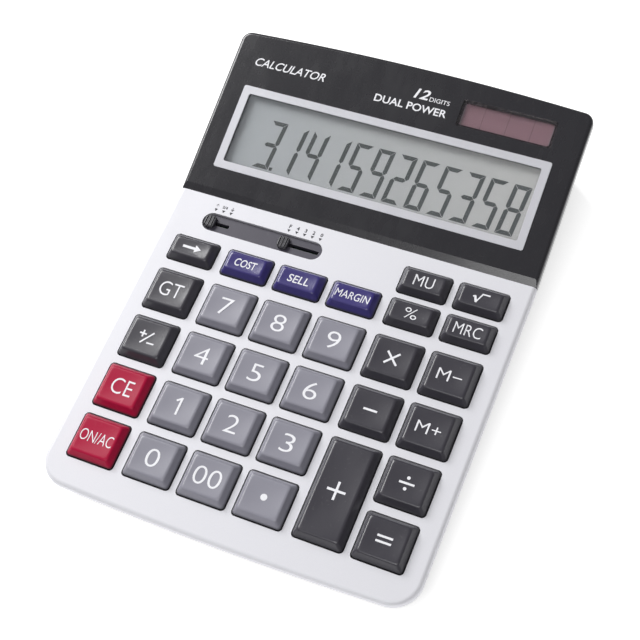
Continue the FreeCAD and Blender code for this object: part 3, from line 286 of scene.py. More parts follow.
def stroke(start: tuple, end: tuple, width: float, low: float, high: float) -> Skin:
    """Straight printed bar of constant width between two points, given in one unit."""
    along = np.subtract(end, start)
    side = np.array([-along[1], along[0]]) / np.linalg.norm(along) * width / 2
    corners = [np.subtract(start, side), np.subtract(end, side)]
    corners += [np.add(end, side), np.add(start, side)]
    return slab(np.array(corners), low, high)


def disc(x: float, y: float, diameter: float, low: float, high: float, count: int = 20) -> Skin:
    """Round printed dot."""
    angles = np.arange(count) * 2 * math.pi / count
    corners = np.stack([x + diameter / 2 * np.cos(angles), y + diameter / 2 * np.sin(angles)])
    return slab(corners.T, low, high)


def lettering(
    text: str, width: float, height: float, depth: float, bold: float = 0.0, slant: float = 0.0
) -> Skin:
    """Raised text, fitted to a box and centred on the origin.

    Args:
        text: what it says
        width: width of the finished line, or zero to keep the letters' own proportions
        height: height of the finished line
        depth: thickness, with half of it under z = 0
        bold: how far each stroke is thickened, as a share of the letter size
        slant: how far the letters lean

    Returns:
        the closed skin
    """
    curve = bpy.data.curves.new("lettering", "FONT")
    curve.body = text
    curve.extrude = 0.5
    curve.offset = bold
    curve.shear = slant
    curve.resolution_u = 5
    holder = bpy.data.objects.new("lettering", curve)
    mesh = bpy.data.meshes.new_from_object(holder)
    points = np.empty(len(mesh.vertices) * 3)
    mesh.vertices.foreach_get("co", points)
    points = points.reshape(-1, 3)
    faces = [tuple(polygon.vertices) for polygon in mesh.polygons]
    bpy.data.meshes.remove(mesh)
    bpy.data.objects.remove(holder)
    bpy.data.curves.remove(curve)
    low, high = points.min(0), points.max(0)
    tall = height / (high - low)[1]
    wide = width / (high - low)[0] if width else tall
    return Skin((points - (low + high) / 2) * np.array([wide, tall, depth]), faces)


def make_piece(
    name: str,
    skin: Skin,
    body: str,
    material: bpy.types.Material,
    smooth: bool = True,
    stands_for: tuple[str, ...] = (),
) -> bpy.types.Object:
    """Turns a skin into an object that rides on a CAD body.

    Args:
        name: name of the piece
        skin: its shape in the table frame
        body: CAD body that carries it
        material: its finish
        smooth: shade across its faces
        stands_for: CAD nodes that it replaces

    Returns:
        the object
    """
    mesh = bpy.data.meshes.new(name)
    mesh.from_pydata(skin.points.tolist(), [], skin.faces)
    mesh.polygons.foreach_set("use_smooth", np.full(len(mesh.polygons), smooth))
    mesh.materials.append(material)
    mesh.update()
    piece = bpy.data.objects.new(name, mesh)
    bpy.context.scene.collection.objects.link(piece)
    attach(piece, body)
    if stands_for:
        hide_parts(*stands_for)
    LOG.info("%s: %d faces on %s", name, len(mesh.polygons), body)
    return piece


def dress(node: str, material: bpy.types.Material) -> None:
    """Gives a CAD node its finish through its material slots."""
    piece = frame["nodes"][node]
    for place in piece.material_slots:
        place.material = material
    LOG.info("%s: %s", node, material.name)


# Shader groups


class Tree:
    """Adds nodes and links to one node tree."""

    def __init__(self, tree: bpy.types.NodeTree) -> None:
        """Keeps the tree to work on."""
        self.tree = tree

    def node(self, kind: str, **settings: object) -> bpy.types.Node:
        """Adds a node.

        Args:
            kind: node type without the word ShaderNode
            settings: attributes of the node

        Returns:
            the node
        """
        made = self.tree.nodes.new("ShaderNode" + kind)
        for key, value in settings.items():
            setattr(made, key, value)
        return made

    def feed(self, target: bpy.types.Node, **values: object) -> bpy.types.Node:
        """Sets or links input sockets, with _ in a name for a space.

        Args:
            target: node whose inputs are fed
            values: a number, a colour or another node's output for each socket name

        Returns:
            the same node
        """
        for key, value in values.items():
            name = key.replace("_", " ")
            socket = next(s for s in target.inputs if s.name == name and s.enabled)
            if isinstance(value, bpy.types.NodeSocket):
                self.tree.links.new(value, socket)
            else:
                socket.default_value = value
        return target

    def spread(self, low: float, high: float, value: object, to: tuple = (0.0, 1.0)) -> object:
        """Output of a Map Range node from low..high to the pair in to, clamped."""
        node = self.node("MapRange", clamp=True)
        self.feed(node, From_Min=low, From_Max=high, To_Min=to[0], To_Max=to[1], Value=value)
        return node.outputs["Result"]

    def math(self, operation: str, first: object, second: object) -> object:
        """Output of a two-input Math node."""
        node = self.node("Math", operation=operation)
        for socket, value in zip(node.inputs, (first, second)):
            if isinstance(value, bpy.types.NodeSocket):
                self.tree.links.new(value, socket)
            else:
                socket.default_value = value
        return node.outputs["Value"]

    def blend(self, share: object, first: object, second: object) -> object:
        """Output of a colour Mix node."""
        node = self.node("Mix", data_type="RGBA")
        return self.feed(node, Factor=share, A=first, B=second).outputs["Result"]


def new_material(name: str) -> tuple[bpy.types.Material, Tree, bpy.types.Node]:
    """Starts a material, and gives it with its tree helper and its Principled shader."""
    material = bpy.data.materials.new(name)
    material.use_nodes = True
    return material, Tree(material.node_tree), material.node_tree.nodes["Principled BSDF"]


def new_group(name: str, inputs: dict[str, float], outputs: tuple[str, ...]) -> tuple:
    """Starts a shader group with number sockets.

    Args:
        name: name of the group
        inputs: name and default of each input
        outputs: names of the outputs

    Returns:
        its tree helper, its input node and its output node
    """
    group = bpy.data.node_groups.new(name, "ShaderNodeTree")
    for key, default in inputs.items():
        socket = group.interface.new_socket(key, in_out="INPUT", socket_type="NodeSocketFloat")
        socket.default_value = default
    for key in outputs:
        group.interface.new_socket(key, in_out="OUTPUT", socket_type="NodeSocketFloat")
    tree = Tree(group)
    return tree, group.nodes.new("NodeGroupInput"), group.nodes.new("NodeGroupOutput")


def grain_group() -> bpy.types.NodeTree:
    """Fine surface grain: a height for bump and a tone for colour, from fine and coarse noise."""
    tree, given, out = new_group("surface_grain", {"Scale": 9000.0, "Coarse": 0.3}, ("Height", "Tone"))
    place = tree.node("TexCoord").outputs["Object"]
    fine = tree.feed(
        tree.node("TexNoise"), Vector=place, Scale=given.outputs["Scale"], Detail=2.0, Roughness=0.6
    )
    wide_scale = tree.math("MULTIPLY", given.outputs["Scale"], given.outputs["Coarse"])
    cells = tree.feed(tree.node("TexVoronoi"), Vector=place, Scale=wide_scale)
    height = tree.math("ADD", fine.outputs["Fac"], cells.outputs["Distance"])
    tree.tree.links.new(tree.math("MULTIPLY", height, 0.5), out.inputs["Height"])
    tone = tree.spread(0.3, 0.7, fine.outputs["Fac"])
    tree.tree.links.new(tone, out.inputs["Tone"])
    return tree.tree


def handling_group() -> bpy.types.NodeTree:
    """Soft patches left by hands: large noise broken up by streaks, from 0 to 1."""
    tree, given, out = new_group("handling", {"Scale": 40.0}, ("Patch",))
    place = tree.node("TexCoord").outputs["Object"]
    wide = tree.feed(
        tree.node("TexNoise"), Vector=place, Scale=given.outputs["Scale"], Detail=4.0, Distortion=0.6
    )
    smears = tree.feed(
        tree.node("TexNoise"),
        Vector=tree.feed(
            tree.node("Mapping"), Vector=place, Scale=(1.0, 0.25, 1.0), Rotation=(0.0, 0.0, 0.6)
        ).outputs["Vector"],
        Scale=tree.math("MULTIPLY", given.outputs["Scale"], 6.0),
        Detail=3.0,
    )
    both = tree.math("MULTIPLY", wide.outputs["Fac"], smears.outputs["Fac"])
    tree.tree.links.new(tree.spread(0.15, 0.4, both), out.inputs["Patch"])
    return tree.tree


def dust_group() -> bpy.types.NodeTree:
    """Sparse specks and haze that settle where a surface looks up, from 0 to 1."""
    tree, given, out = new_group("dust", {"Scale": 900.0, "Amount": 0.3}, ("Dust",))
    place = tree.node("TexCoord").outputs["Object"]
    specks = tree.feed(tree.node("TexNoise"), Vector=place, Scale=given.outputs["Scale"], Detail=5.0)
    up = tree.node("SeparateXYZ")
    tree.feed(up, Vector=tree.node("NewGeometry").outputs["Normal"])
    facing = tree.spread(0.2, 1.0, up.outputs["Z"])
    spots = tree.spread(0.62, 0.78, specks.outputs["Fac"])
    amount = tree.math("MULTIPLY", tree.math("MULTIPLY", spots, facing), given.outputs["Amount"])
    tree.tree.links.new(amount, out.inputs["Dust"])
    return tree.tree


def edge_wear_and_highlight_group() -> bpy.types.NodeTree:
    """Edge mask for a painted highlight and wear on rounded edges: how far the rounded normal turns from
    the true one, from 0 to 1.
    """
    tree, given, out = new_group("edge_wear_and_highlight", {"Radius": 0.0004}, ("Edge",))
    rounded = tree.node("Bevel", samples=4)
    tree.feed(rounded, Radius=given.outputs["Radius"])
    dot = tree.node("VectorMath", operation="DOT_PRODUCT")
    tree.tree.links.new(rounded.outputs["Normal"], dot.inputs[0])
    tree.tree.links.new(tree.node("NewGeometry").outputs["Normal"], dot.inputs[1])
    tree.tree.links.new(tree.spread(0.99, 0.85, dot.outputs["Value"]), out.inputs["Edge"])
    return tree.tree


def fade_group() -> bpy.types.NodeTree:
    """How far a point lies from one X to another, from 0 to 1."""
    tree, given, out = new_group("fade_across", {"Left": 0.0, "Right": 1.0}, ("Share",))
    split = tree.node("SeparateXYZ")
    tree.feed(split, Vector=tree.node("TexCoord").outputs["Object"])
    share = tree.spread(given.outputs["Left"], given.outputs["Right"], split.outputs["X"])
    tree.tree.links.new(share, out.inputs["Share"])
    return tree.tree


def painted_gap_shade_group(face: Face, level: float) -> bpy.types.NodeTree:
    """Mask for the painted shade in the gap round a key: z cos t - y sin t, the height over a
    face of tilt t, spread over a band above the cover, from 0 (shaded) to 1 (unshaded).

    Args:
        face: the keyboard's face
        level: height of the keyboard cover in the face's coordinates

    Returns:
        the group
    """
    low, high = PAINTED_GAP_SHADE_BAND
    tree, given, out = new_group("key_painted_gap_shade", {"Low": level + low, "High": level + high}, ("Clear",))
    split = tree.node("SeparateXYZ")
    tree.feed(split, Vector=tree.node("TexCoord").outputs["Object"])
    up = tree.math("MULTIPLY", split.outputs["Z"], math.cos(face.tilt))
    back = tree.math("MULTIPLY", split.outputs["Y"], math.sin(face.tilt))
    height = tree.math("SUBTRACT", up, back)
    clear = tree.spread(given.outputs["Low"], given.outputs["High"], height)
    tree.tree.links.new(clear, out.inputs["Clear"])
    return tree.tree


class Shared:
    """The shader groups that several finishes use, built once."""

    def __init__(self) -> None:
        """Builds the groups."""
        self.grain = grain_group()
        self.handling = handling_group()
        self.dust = dust_group()
        self.wear_and_highlight = edge_wear_and_highlight_group()
        self.fade = fade_group()

    def use(self, tree: Tree, group: bpy.types.NodeTree, **values: object) -> bpy.types.Node:
        """Places a group in a material.

        Args:
            tree: the material's tree
            group: the group
            values: its inputs

        Returns:
            the group's node
        """
        node = tree.node("Group", node_tree=group)
        return tree.feed(node, **values)


# Finishes


@dataclass(frozen=True)
class Finish:
    """A moulded, painted or metal surface.

    Args:
        name: name of the material
        colour: main colour
        shade: colour of the grain's darker half
        roughness: roughness where the surface is clean
        metallic: share of metal
        coat: clear lacquer on top
        grain_scale: cells of the grain per metre
        grain_share: how much of the shade the grain brings
        grain_depth: height of the grain, in millimetres
        smear: how far handling changes the roughness
        edge: how far rounded edges turn to the edge colour, a painted highlight with some wear
        worn_and_highlit_edge: colour of the edges: painted highlight, and wear
        dust: amount of dust
        specular: level of plain reflection
    """

    name: str
    colour: Colour
    shade: Colour
    roughness: float
    metallic: float = 0.0
    coat: float = 0.0
    grain_scale: float = 6000.0
    grain_share: float = 0.35
    grain_depth: float = 0.004
    smear: float = 0.06
    edge: float = 0.15
    worn_and_highlit_edge: Colour = (0.6, 0.6, 0.6, 1.0)
    dust: float = 0.05
    specular: float = 0.5

    def build(self, shared: Shared) -> bpy.types.Material:
        """Builds the material.

        Args:
            shared: the shader groups

        Returns:
            the material
        """
        material, tree, shader = new_material(self.name)
        grain = shared.use(tree, shared.grain, Scale=self.grain_scale)
        patch = shared.use(tree, shared.handling).outputs["Patch"]
        share = tree.math("MULTIPLY", grain.outputs["Tone"], self.grain_share)
        colour = tree.blend(share, self.colour, self.shade)
        if self.edge:
            # Painted highlight and wear: rounded edges turn lighter, towards the edge colour.
            worn_and_highlit_edge = shared.use(tree, shared.wear_and_highlight).outputs["Edge"]
            colour = tree.blend(tree.math("MULTIPLY", worn_and_highlit_edge, self.edge), colour, self.worn_and_highlit_edge)
        if self.dust:
            dust = shared.use(tree, shared.dust, Amount=self.dust).outputs["Dust"]
            colour = tree.blend(dust, colour, srgb(190, 188, 184))
        rough = tree.spread(0.0, 1.0, patch, (self.roughness, self.roughness + self.smear))
        bump = tree.feed(
            tree.node("Bump"), Height=grain.outputs["Height"], Distance=self.grain_depth * MM
        )
        tree.feed(
            shader,
            Base_Color=colour,
            Roughness=rough,
            Normal=bump.outputs["Normal"],
            Metallic=self.metallic,
            Coat_Weight=self.coat,
            Coat_Roughness=0.08,
            Specular_IOR_Level=self.specular,
        )
        return material


@dataclass(frozen=True)
class Clear:
    """A clear window that lets lamps through.

    Args:
        name: name of the material
        colour: tint
        roughness: roughness where the window is clean
    """

    name: str
    colour: Colour
    roughness: float = 0.03

    def build(self, shared: Shared) -> bpy.types.Material:
        """Builds the material: glass with faint smears, left out for rays to the lamps.

        Args:
            shared: the shader groups

        Returns:
            the material
        """
        material, tree, shader = new_material(self.name)
        patch = shared.use(tree, shared.handling, Scale=60.0).outputs["Patch"]
        rough = tree.spread(0.0, 1.0, patch, (self.roughness, self.roughness + 0.03))
        tree.feed(shader, Base_Color=self.colour, Roughness=rough, IOR=1.49, Transmission_Weight=1.0)
        open_way = tree.feed(tree.node("BsdfTransparent"), Color=self.colour)
        mix = tree.node("MixShader")
        links = material.node_tree.links
        links.new(tree.node("LightPath").outputs["Is Shadow Ray"], mix.inputs[0])
        links.new(shader.outputs[0], mix.inputs[1])
        links.new(open_way.outputs[0], mix.inputs[2])
        links.new(mix.outputs[0], material.node_tree.nodes["Material Output"].inputs[0])
        return material


@dataclass(frozen=True)
class Fade:
    """A surface whose colour changes evenly from left to right: painted light and shade across a display.

    Args:
        name: name of the material
        left: X where the first colour is full, in metres
        right: X where the second colour is full, in metres
        colours: colour at the left and colour at the right
        roughness: roughness of the surface
    """

    name: str
    left: float
    right: float
    colours: tuple[Colour, Colour]
    roughness: float = 0.4

    def build(self, shared: Shared) -> bpy.types.Material:
        """Builds the material.

        Args:
            shared: the shader groups

        Returns:
            the material
        """
        material, tree, shader = new_material(self.name)
        across = shared.use(tree, shared.fade, Left=self.left, Right=self.right)
        colour = tree.blend(across.outputs["Share"], *self.colours)
        grain = shared.use(tree, shared.grain, Scale=1800.0)
        speckle = tree.math("MULTIPLY", grain.outputs["Tone"], 0.06)
        tree.feed(
            shader,
            Base_Color=tree.blend(speckle, colour, srgb(90, 94, 98)),
            Roughness=tree.spread(
                0.0, 1.0, grain.outputs["Tone"], (self.roughness, self.roughness + 0.06)
            ),
        )
        return material


@dataclass(frozen=True)
class SolarFilm:
    """Brown film of a solar cell, divided into strips by thin dark lines, with grey ends.

    Args:
        name: name of the material
        left: X of the film's left edge, in metres
        width: width of the film, in metres
        strips: number of strips
        margin: width of the grey band at each end, in metres
    """

    name: str
    left: float
    width: float
    strips: int = 4
    margin: float = 0.0022

    def build(self, shared: Shared) -> bpy.types.Material:
        """Builds the material.

        Args:
            shared: the shader groups

        Returns:
            the material
        """
        material, tree, shader = new_material(self.name)
        split = tree.node("SeparateXYZ")
        tree.feed(split, Vector=tree.node("TexCoord").outputs["Object"])
        along = tree.math("SUBTRACT", split.outputs["X"], self.left)
        place = tree.math("FRACT", tree.math("DIVIDE", along, self.width / self.strips), 0.0)
        line = tree.math("LESS_THAN", place, 0.02)
        from_middle = tree.math("SUBTRACT", along, self.width / 2)
        distance = tree.math("ABSOLUTE", from_middle, 0.0)
        end = tree.math("GREATER_THAN", distance, self.width / 2 - self.margin)
        grain = shared.use(tree, shared.grain, Scale=2500.0)
        film = tree.blend(grain.outputs["Tone"], srgb(146, 124, 130), srgb(134, 116, 124))
        tree.feed(
            shader,
            Base_Color=tree.blend(
                end, tree.blend(line, film, srgb(92, 80, 84)), srgb(128, 127, 132)
            ),
            Roughness=tree.spread(0.0, 1.0, grain.outputs["Tone"], (0.25, 0.35)),
            Coat_Weight=0.4,
        )
        return material


class Shade(Enum):
    """Colour of a key."""

    GREY = "key_grey"
    BLACK = "key_black"
    VIOLET = "key_violet"
    RED = "key_red"


# Its slightly lighter edge colour is a painted highlight on rounded edges.
SILVER = Finish(
    "silver_paint",
    srgb(222, 222, 227),
    srgb(208, 207, 214),
    roughness=0.46,
    metallic=0.08,
    specular=0.35,
    grain_scale=7000.0,
    grain_share=0.5,
    grain_depth=0.003,
    edge=0.1,
    worn_and_highlit_edge=srgb(226, 226, 230),
    dust=0.02,
)
# Its much lighter edge colour is a painted highlight on the cover's rounded edges, with some wear.
CHARCOAL = Finish(
    "charcoal_gloss",
    srgb(37, 36, 41),
    srgb(30, 30, 34),
    roughness=0.24,
    coat=0.3,
    grain_scale=9000.0,
    grain_depth=0.002,
    edge=0.25,
    worn_and_highlit_edge=srgb(96, 96, 102),
    dust=0.02,
)
LOWER = Finish(
    "charcoal_moulded",
    srgb(27, 27, 30),
    srgb(19, 19, 22),
    roughness=0.55,
    grain_scale=2600.0,
    grain_depth=0.02,
    edge=0.25,
    worn_and_highlit_edge=srgb(96, 96, 100),
)
TRIM = Finish(
    "silver_trim",
    srgb(204, 204, 210),
    srgb(194, 194, 201),
    roughness=0.34,
    metallic=0.2,
    edge=0.1,
    worn_and_highlit_edge=srgb(220, 220, 224),
    dust=0.02,
)
PLAIN_FINISHES = {
    "lower_case": LOWER,
    "battery_door": LOWER,
    "rubber_feet": Finish(
        "foot_rubber", srgb(46, 45, 45), srgb(30, 30, 30), roughness=0.8, grain_depth=0.02, dust=0.3
    ),
    "case_screws": Finish(
        "screw_steel", srgb(92, 92, 96), srgb(60, 60, 64), roughness=0.35, metallic=0.9, edge=0.5
    ),
    "switch_plate": Finish(
        "slot_plate", srgb(64, 61, 73), srgb(55, 52, 63), roughness=0.42, grain_scale=1500.0
    ),
    "main_board": Finish(
        "board_laminate", srgb(20, 50, 36), srgb(14, 38, 27), roughness=0.4, coat=0.4, grain_scale=900.0
    ),
    "dome_sheet": Finish(
        "dome_rubber", srgb(196, 194, 190), srgb(176, 174, 170), roughness=0.7, grain_scale=1200.0
    ),
    "chip_blob": Finish(
        "chip_epoxy", srgb(26, 26, 28), srgb(16, 16, 18), roughness=0.25, grain_scale=500.0
    ),
    "lcd_holder": Finish(
        "holder_plastic", srgb(38, 38, 41), srgb(30, 30, 33), roughness=0.6, grain_depth=0.01
    ),
    "display_ribbon": Finish(
        "ribbon_film", srgb(196, 150, 84), srgb(160, 112, 60), roughness=0.35, grain_scale=500.0
    ),
    "solar_pad": Finish(
        "pad_foam", srgb(58, 58, 60), srgb(36, 36, 38), roughness=0.9, grain_scale=2500.0, grain_depth=0.1
    ),
    "solar_leads": Finish(
        "lead_insulation", srgb(160, 34, 30), srgb(130, 26, 24), roughness=0.45, grain_scale=900.0
    ),
    "battery_cell": Finish(
        "cell_steel", srgb(190, 190, 194), srgb(160, 160, 166), roughness=0.25, metallic=0.95
    ),
    "battery_contact_minus": Finish(
        "contact_metal", srgb(206, 200, 184), srgb(176, 168, 150), roughness=0.3, metallic=0.9
    ),
    "rounding_knob": Finish(
        "knob_plastic", srgb(46, 44, 52), srgb(36, 35, 41), roughness=0.38, grain_depth=0.008, edge=0.25
    ),
}
SHARED_FINISH = {
    "board_screws": "case_screws",
    "holder_screws": "case_screws",
    "battery_leads": "solar_leads",
    "battery_contact_plus": "battery_contact_minus",
    "rounding_wiper": "battery_contact_minus",
    "decimal_wiper": "battery_contact_minus",
    "decimal_knob": "rounding_knob",
}
KEY_FINISHES = {
    Shade.GREY: Finish(
        "key_grey", srgb(138, 137, 148), srgb(128, 127, 138), roughness=0.36, coat=0.15, edge=0.1
    ),
    Shade.BLACK: Finish(
        "key_black", srgb(55, 53, 61), srgb(46, 44, 52), roughness=0.34, coat=0.2, edge=0.1
    ),
    Shade.VIOLET: Finish(
        "key_violet", srgb(52, 43, 112), srgb(43, 35, 98), roughness=0.3, coat=0.3, edge=0.1
    ),
    Shade.RED: Finish(
        "key_red", srgb(170, 4, 56), srgb(156, 4, 50), roughness=0.36, specular=0.25, edge=0.05
    ),
}
WHITE_INK = Finish(
    "white_ink", srgb(236, 236, 240), srgb(222, 222, 228), roughness=0.5, edge=0.0, dust=0.0
)
GREY_INK = Finish("grey_ink", srgb(46, 46, 54), srgb(36, 36, 44), roughness=0.6, edge=0.0, dust=0.0)
PAINTED_GAP_SHADE = srgb(34, 33, 38)  # painted shade on a key's side down in the gap round it


# Keys


@dataclass(frozen=True)
class Print:
    """A printed legend: text, or bars and dots, in millimetres about the key's middle.

    Args:
        text: letters, or nothing
        width: width of the letters
        height: height of the letters
        bold: extra stroke width, as a share of the letter size
        slant: lean of the letters
        bars: (x0, y0, x1, y1, width) of straight strokes
        dots: (x, y, diameter) of round dots
        points: corners of one filled shape, anticlockwise
    """

    text: str = ""
    width: float = 0.0
    height: float = 0.0
    bold: float = 0.0
    slant: float = 0.0
    bars: tuple = ()
    dots: tuple = ()
    points: tuple = ()

    def skin(self, depth: float) -> Skin:
        """Shape of the print about z = 0.

        Args:
            depth: thickness in metres

        Returns:
            the closed skin, in metres
        """
        half = depth / 2
        parts = []
        if self.text:
            size = (self.width * MM, self.height * MM)
            parts.append(lettering(self.text, *size, depth, self.bold, self.slant))
        for x0, y0, x1, y1, width in self.bars:
            ends = ((x0 * MM, y0 * MM), (x1 * MM, y1 * MM))
            parts.append(stroke(*ends, width * MM, -half, half))
        for x, y, diameter in self.dots:
            parts.append(disc(x * MM, y * MM, diameter * MM, -half, half))
        if self.points:
            parts.append(slab(np.array(self.points) * MM, -half, half))
        return joined(parts)


def digit(text: str, width: float = 5.0) -> Print:
    """Large legend of a digit key."""
    return Print(text, width, 6.6, bold=-0.01)


def bar_print(*bars: tuple, dots: tuple = ()) -> Print:
    """Legend of straight bars and dots."""
    return Print(bars=bars, dots=dots)


KEYS: dict[str, tuple[Shade, Print]] = {
    "key_markup": (Shade.BLACK, Print("MU", 7.4, 4.3, bold=-0.008)),
    "key_root": (
        Shade.BLACK,
        bar_print(
            (-2.9, 0.1, -2.1, 0.5, 0.5),
            (-2.2, 0.6, -1.2, -1.9, 0.8),
            (-1.3, -1.9, 0.3, 1.7, 0.5),
            (0.1, 1.7, 3.0, 1.7, 0.5),
        ),
    ),
    "key_backspace": (
        Shade.BLACK,
        Print(bars=((-3.7, 0.1, 1.4, 0.1, 1.0),), points=((1.2, -1.4), (3.7, 0.1), (1.2, 1.6))),
    ),
    "key_cost": (Shade.VIOLET, Print("COST", 8.6, 3.1, bold=0.008, slant=0.12)),
    "key_sell": (Shade.VIOLET, Print("SELL", 8.2, 3.1, bold=0.008, slant=0.12)),
    "key_margin": (Shade.VIOLET, Print("MARGIN", 13.0, 3.0, bold=0.0, slant=0.1)),
    "key_percent": (Shade.BLACK, Print("%", 4.8, 4.2, bold=-0.008)),
    "key_memory_recall": (Shade.BLACK, Print("MRC", 10.0, 4.3, bold=-0.008)),
    "key_grand_total": (Shade.BLACK, Print("GT", 9.0, 5.7, bold=-0.008)),
    "key_7": (Shade.GREY, digit("7")),
    "key_8": (Shade.GREY, digit("8")),
    "key_9": (Shade.GREY, digit("9")),
    "key_multiply": (
        Shade.BLACK,
        bar_print((-2.3, -2.3, 2.3, 2.3, 0.75), (-2.3, 2.3, 2.3, -2.3, 0.75)),
    ),
    "key_memory_minus": (Shade.BLACK, Print("M−", 8.8, 4.1, bold=-0.008)),
    "key_sign": (
        Shade.BLACK,
        bar_print(
            (-3.4, 1.2, -0.7, 1.2, 0.6),
            (-2.05, -0.15, -2.05, 2.55, 0.6),
            (-1.9, -2.5, 1.9, 2.4, 0.6),
            (0.6, -1.9, 3.5, -1.9, 0.6),
        ),
    ),
    "key_4": (Shade.GREY, digit("4", 5.4)),
    "key_5": (Shade.GREY, digit("5", 4.7)),
    "key_6": (Shade.GREY, digit("6")),
    "key_minus": (Shade.BLACK, bar_print((-2.5, 0, 2.5, 0, 0.75))),
    "key_memory_plus": (Shade.BLACK, Print("M+", 8.8, 4.1, bold=-0.008)),
    "key_clear_entry": (Shade.RED, Print("CE", 8.2, 6.0, bold=-0.008)),
    "key_1": (Shade.GREY, bar_print((0.55, -3.3, 0.55, 3.3, 0.8), (-1.2, 1.75, 0.6, 2.95, 0.7))),
    "key_2": (Shade.GREY, digit("2", 4.8)),
    "key_3": (Shade.GREY, digit("3", 4.6)),
    "key_plus": (Shade.BLACK, bar_print((-3.3, 0, 3.3, 0, 0.85), (0, -3.3, 0, 3.3, 0.85))),
    "key_divide": (
        Shade.BLACK,
        bar_print((-2.7, 0, 2.7, 0, 0.75), dots=((0, 1.95, 1.2), (0, -1.95, 1.2))),
    ),
    "key_on_clear": (Shade.RED, Print("ON/AC", 12.6, 4.2, bold=-0.008)),
    "key_0": (Shade.GREY, digit("0")),
    "key_00": (Shade.GREY, digit("00", 10.2)),
    "key_point": (Shade.GREY, Print(dots=((0, 0, 2.4),))),
    "key_equals": (
        Shade.BLACK,
        bar_print((-2.7, 0.95, 2.7, 0.95, 0.75), (-2.7, -0.95, 2.7, -0.95, 0.75)),
    ),
}


@dataclass(frozen=True)
class KeyCap:
    """Hollow key cap with sloping sides and a dished top, in millimetres in its own face.

    Args:
        half_width: half of the width at the foot
        half_depth: half of the depth at the foot
        bottom: lower rim, below the keyboard face
        rise: top edge above the keyboard face
        corner: corner radius at the foot
        shoulder: height of the upright foot above the face
        inset: how far the top's edge is inside the foot
        roll: length of the rolled edge along the top
        dish: depth of the dished top
        wall: wall thickness
        top: thickness of the top
        plunger: plunger's radius
        tab: (reach past the foot, half width, thickness) of the side tabs
    """

    half_width: float
    half_depth: float
    bottom: float
    rise: float
    corner: float = 1.1
    shoulder: float = 0.5
    inset: float = 1.65
    roll: float = 1.0
    dish: float = 0.35
    wall: float = 1.1
    top: float = 1.2
    plunger: float = 2.5
    tab: tuple = (1.3, 2.5, 1.0)

    def crown(self, x: np.ndarray, y: np.ndarray) -> np.ndarray:
        """Height of the dished top: its edge's height less dish (1 - (x/a)²) (1 - (y/b)²)."""
        a = self.half_width - self.inset
        b = self.half_depth - self.inset
        fall = np.clip(1 - (x / a) ** 2, 0, 1) * np.clip(1 - (y / b) ** 2, 0, 1)
        return self.rise - self.dish * fall

    def profile(self) -> np.ndarray:
        """Insets, corner radii and heights from the plunger's bottom to the edge of the top.

        The side is straight from the shoulder to the start of the rolled edge, and the roll is
        a parabola whose two ends run along the side and along the top.

        Returns:
            (m, 4) array of half width, half depth, corner radius and height
        """
        a, b = self.half_width, self.half_depth
        ceiling = self.rise - self.top
        inner_a, inner_b = a - self.inset - self.wall, b - self.inset - self.wall
        stem = min(self.plunger, inner_b - 0.3)
        hidden = [
            (stem * 0.5, stem * 0.5, stem * 0.5, self.bottom),
            (stem, stem, stem, self.bottom),
            (stem, stem, stem, self.bottom),
            (stem, stem, stem, ceiling),
            (inner_a, inner_b, 0.6, ceiling),
            (inner_a, inner_b, 0.6, ceiling),
            (inner_a, inner_b, 0.6, self.bottom),
            (inner_a, inner_b, 0.6, self.bottom),
            (a, b, self.corner, self.bottom),
            (a, b, self.corner, self.bottom),
            (a, b, self.corner, self.shoulder - 0.12),
        ]
        share = np.linspace(0, 1, 3)[:, None]
        slope_end = np.array([self.inset * 0.84, self.rise - 0.55])
        slope = np.array([0.06, self.shoulder]) * (1 - share) + slope_end * share
        t = np.linspace(0, 1, 7)[1:, None]
        knee = np.array([self.inset, self.rise])
        edge = np.array([self.inset + self.roll, self.rise])
        roll = (1 - t) ** 2 * slope_end + 2 * t * (1 - t) * knee + t**2 * edge
        side = np.vstack([slope, roll])
        radius = self.corner * (1 - 0.15 * side[:, 0] / self.inset)
        outer = np.column_stack([a - side[:, 0], b - side[:, 0], radius, side[:, 1]])
        return np.vstack([hidden, outer])

    def skin(self) -> Skin:
        """Closed skin of the cap: its profile, then rings that shrink to the middle of the top.

        Returns:
            the skin in metres, about the key's middle
        """
        levels = self.profile()
        a, b, radius, _ = levels[-1]
        shrink = np.array([0.96, 0.9, 0.78, 0.62, 0.44, 0.24])
        inner = np.column_stack([a * shrink, b * shrink, radius * shrink, np.zeros(6)])
        rings = rings_from(np.vstack([levels, inner]))
        first = len(levels) - 1
        low = self.crown(rings[first:, :, 0], rings[first:, :, 1])
        rings[first:, :, 2] = low
        for back, share in ((1, 0.7), (2, 0.4), (3, 0.15)):
            ring = rings[first - back]
            sag = self.rise - self.crown(ring[:, 0], ring[:, 1])
            ring[:, 2] -= share * sag
        whole = loft(rings)
        reach, half, thick = self.tab
        for sign in (-1, 1):
            ends = sorted((sign * (self.half_width - 0.4), sign * (self.half_width + reach)))
            corners = [(ends[0], -half), (ends[1], -half), (ends[1], half), (ends[0], half)]
            whole = whole + slab(np.array(corners), self.bottom, self.bottom + thick)
        return Skin(whole.points * MM, whole.faces)


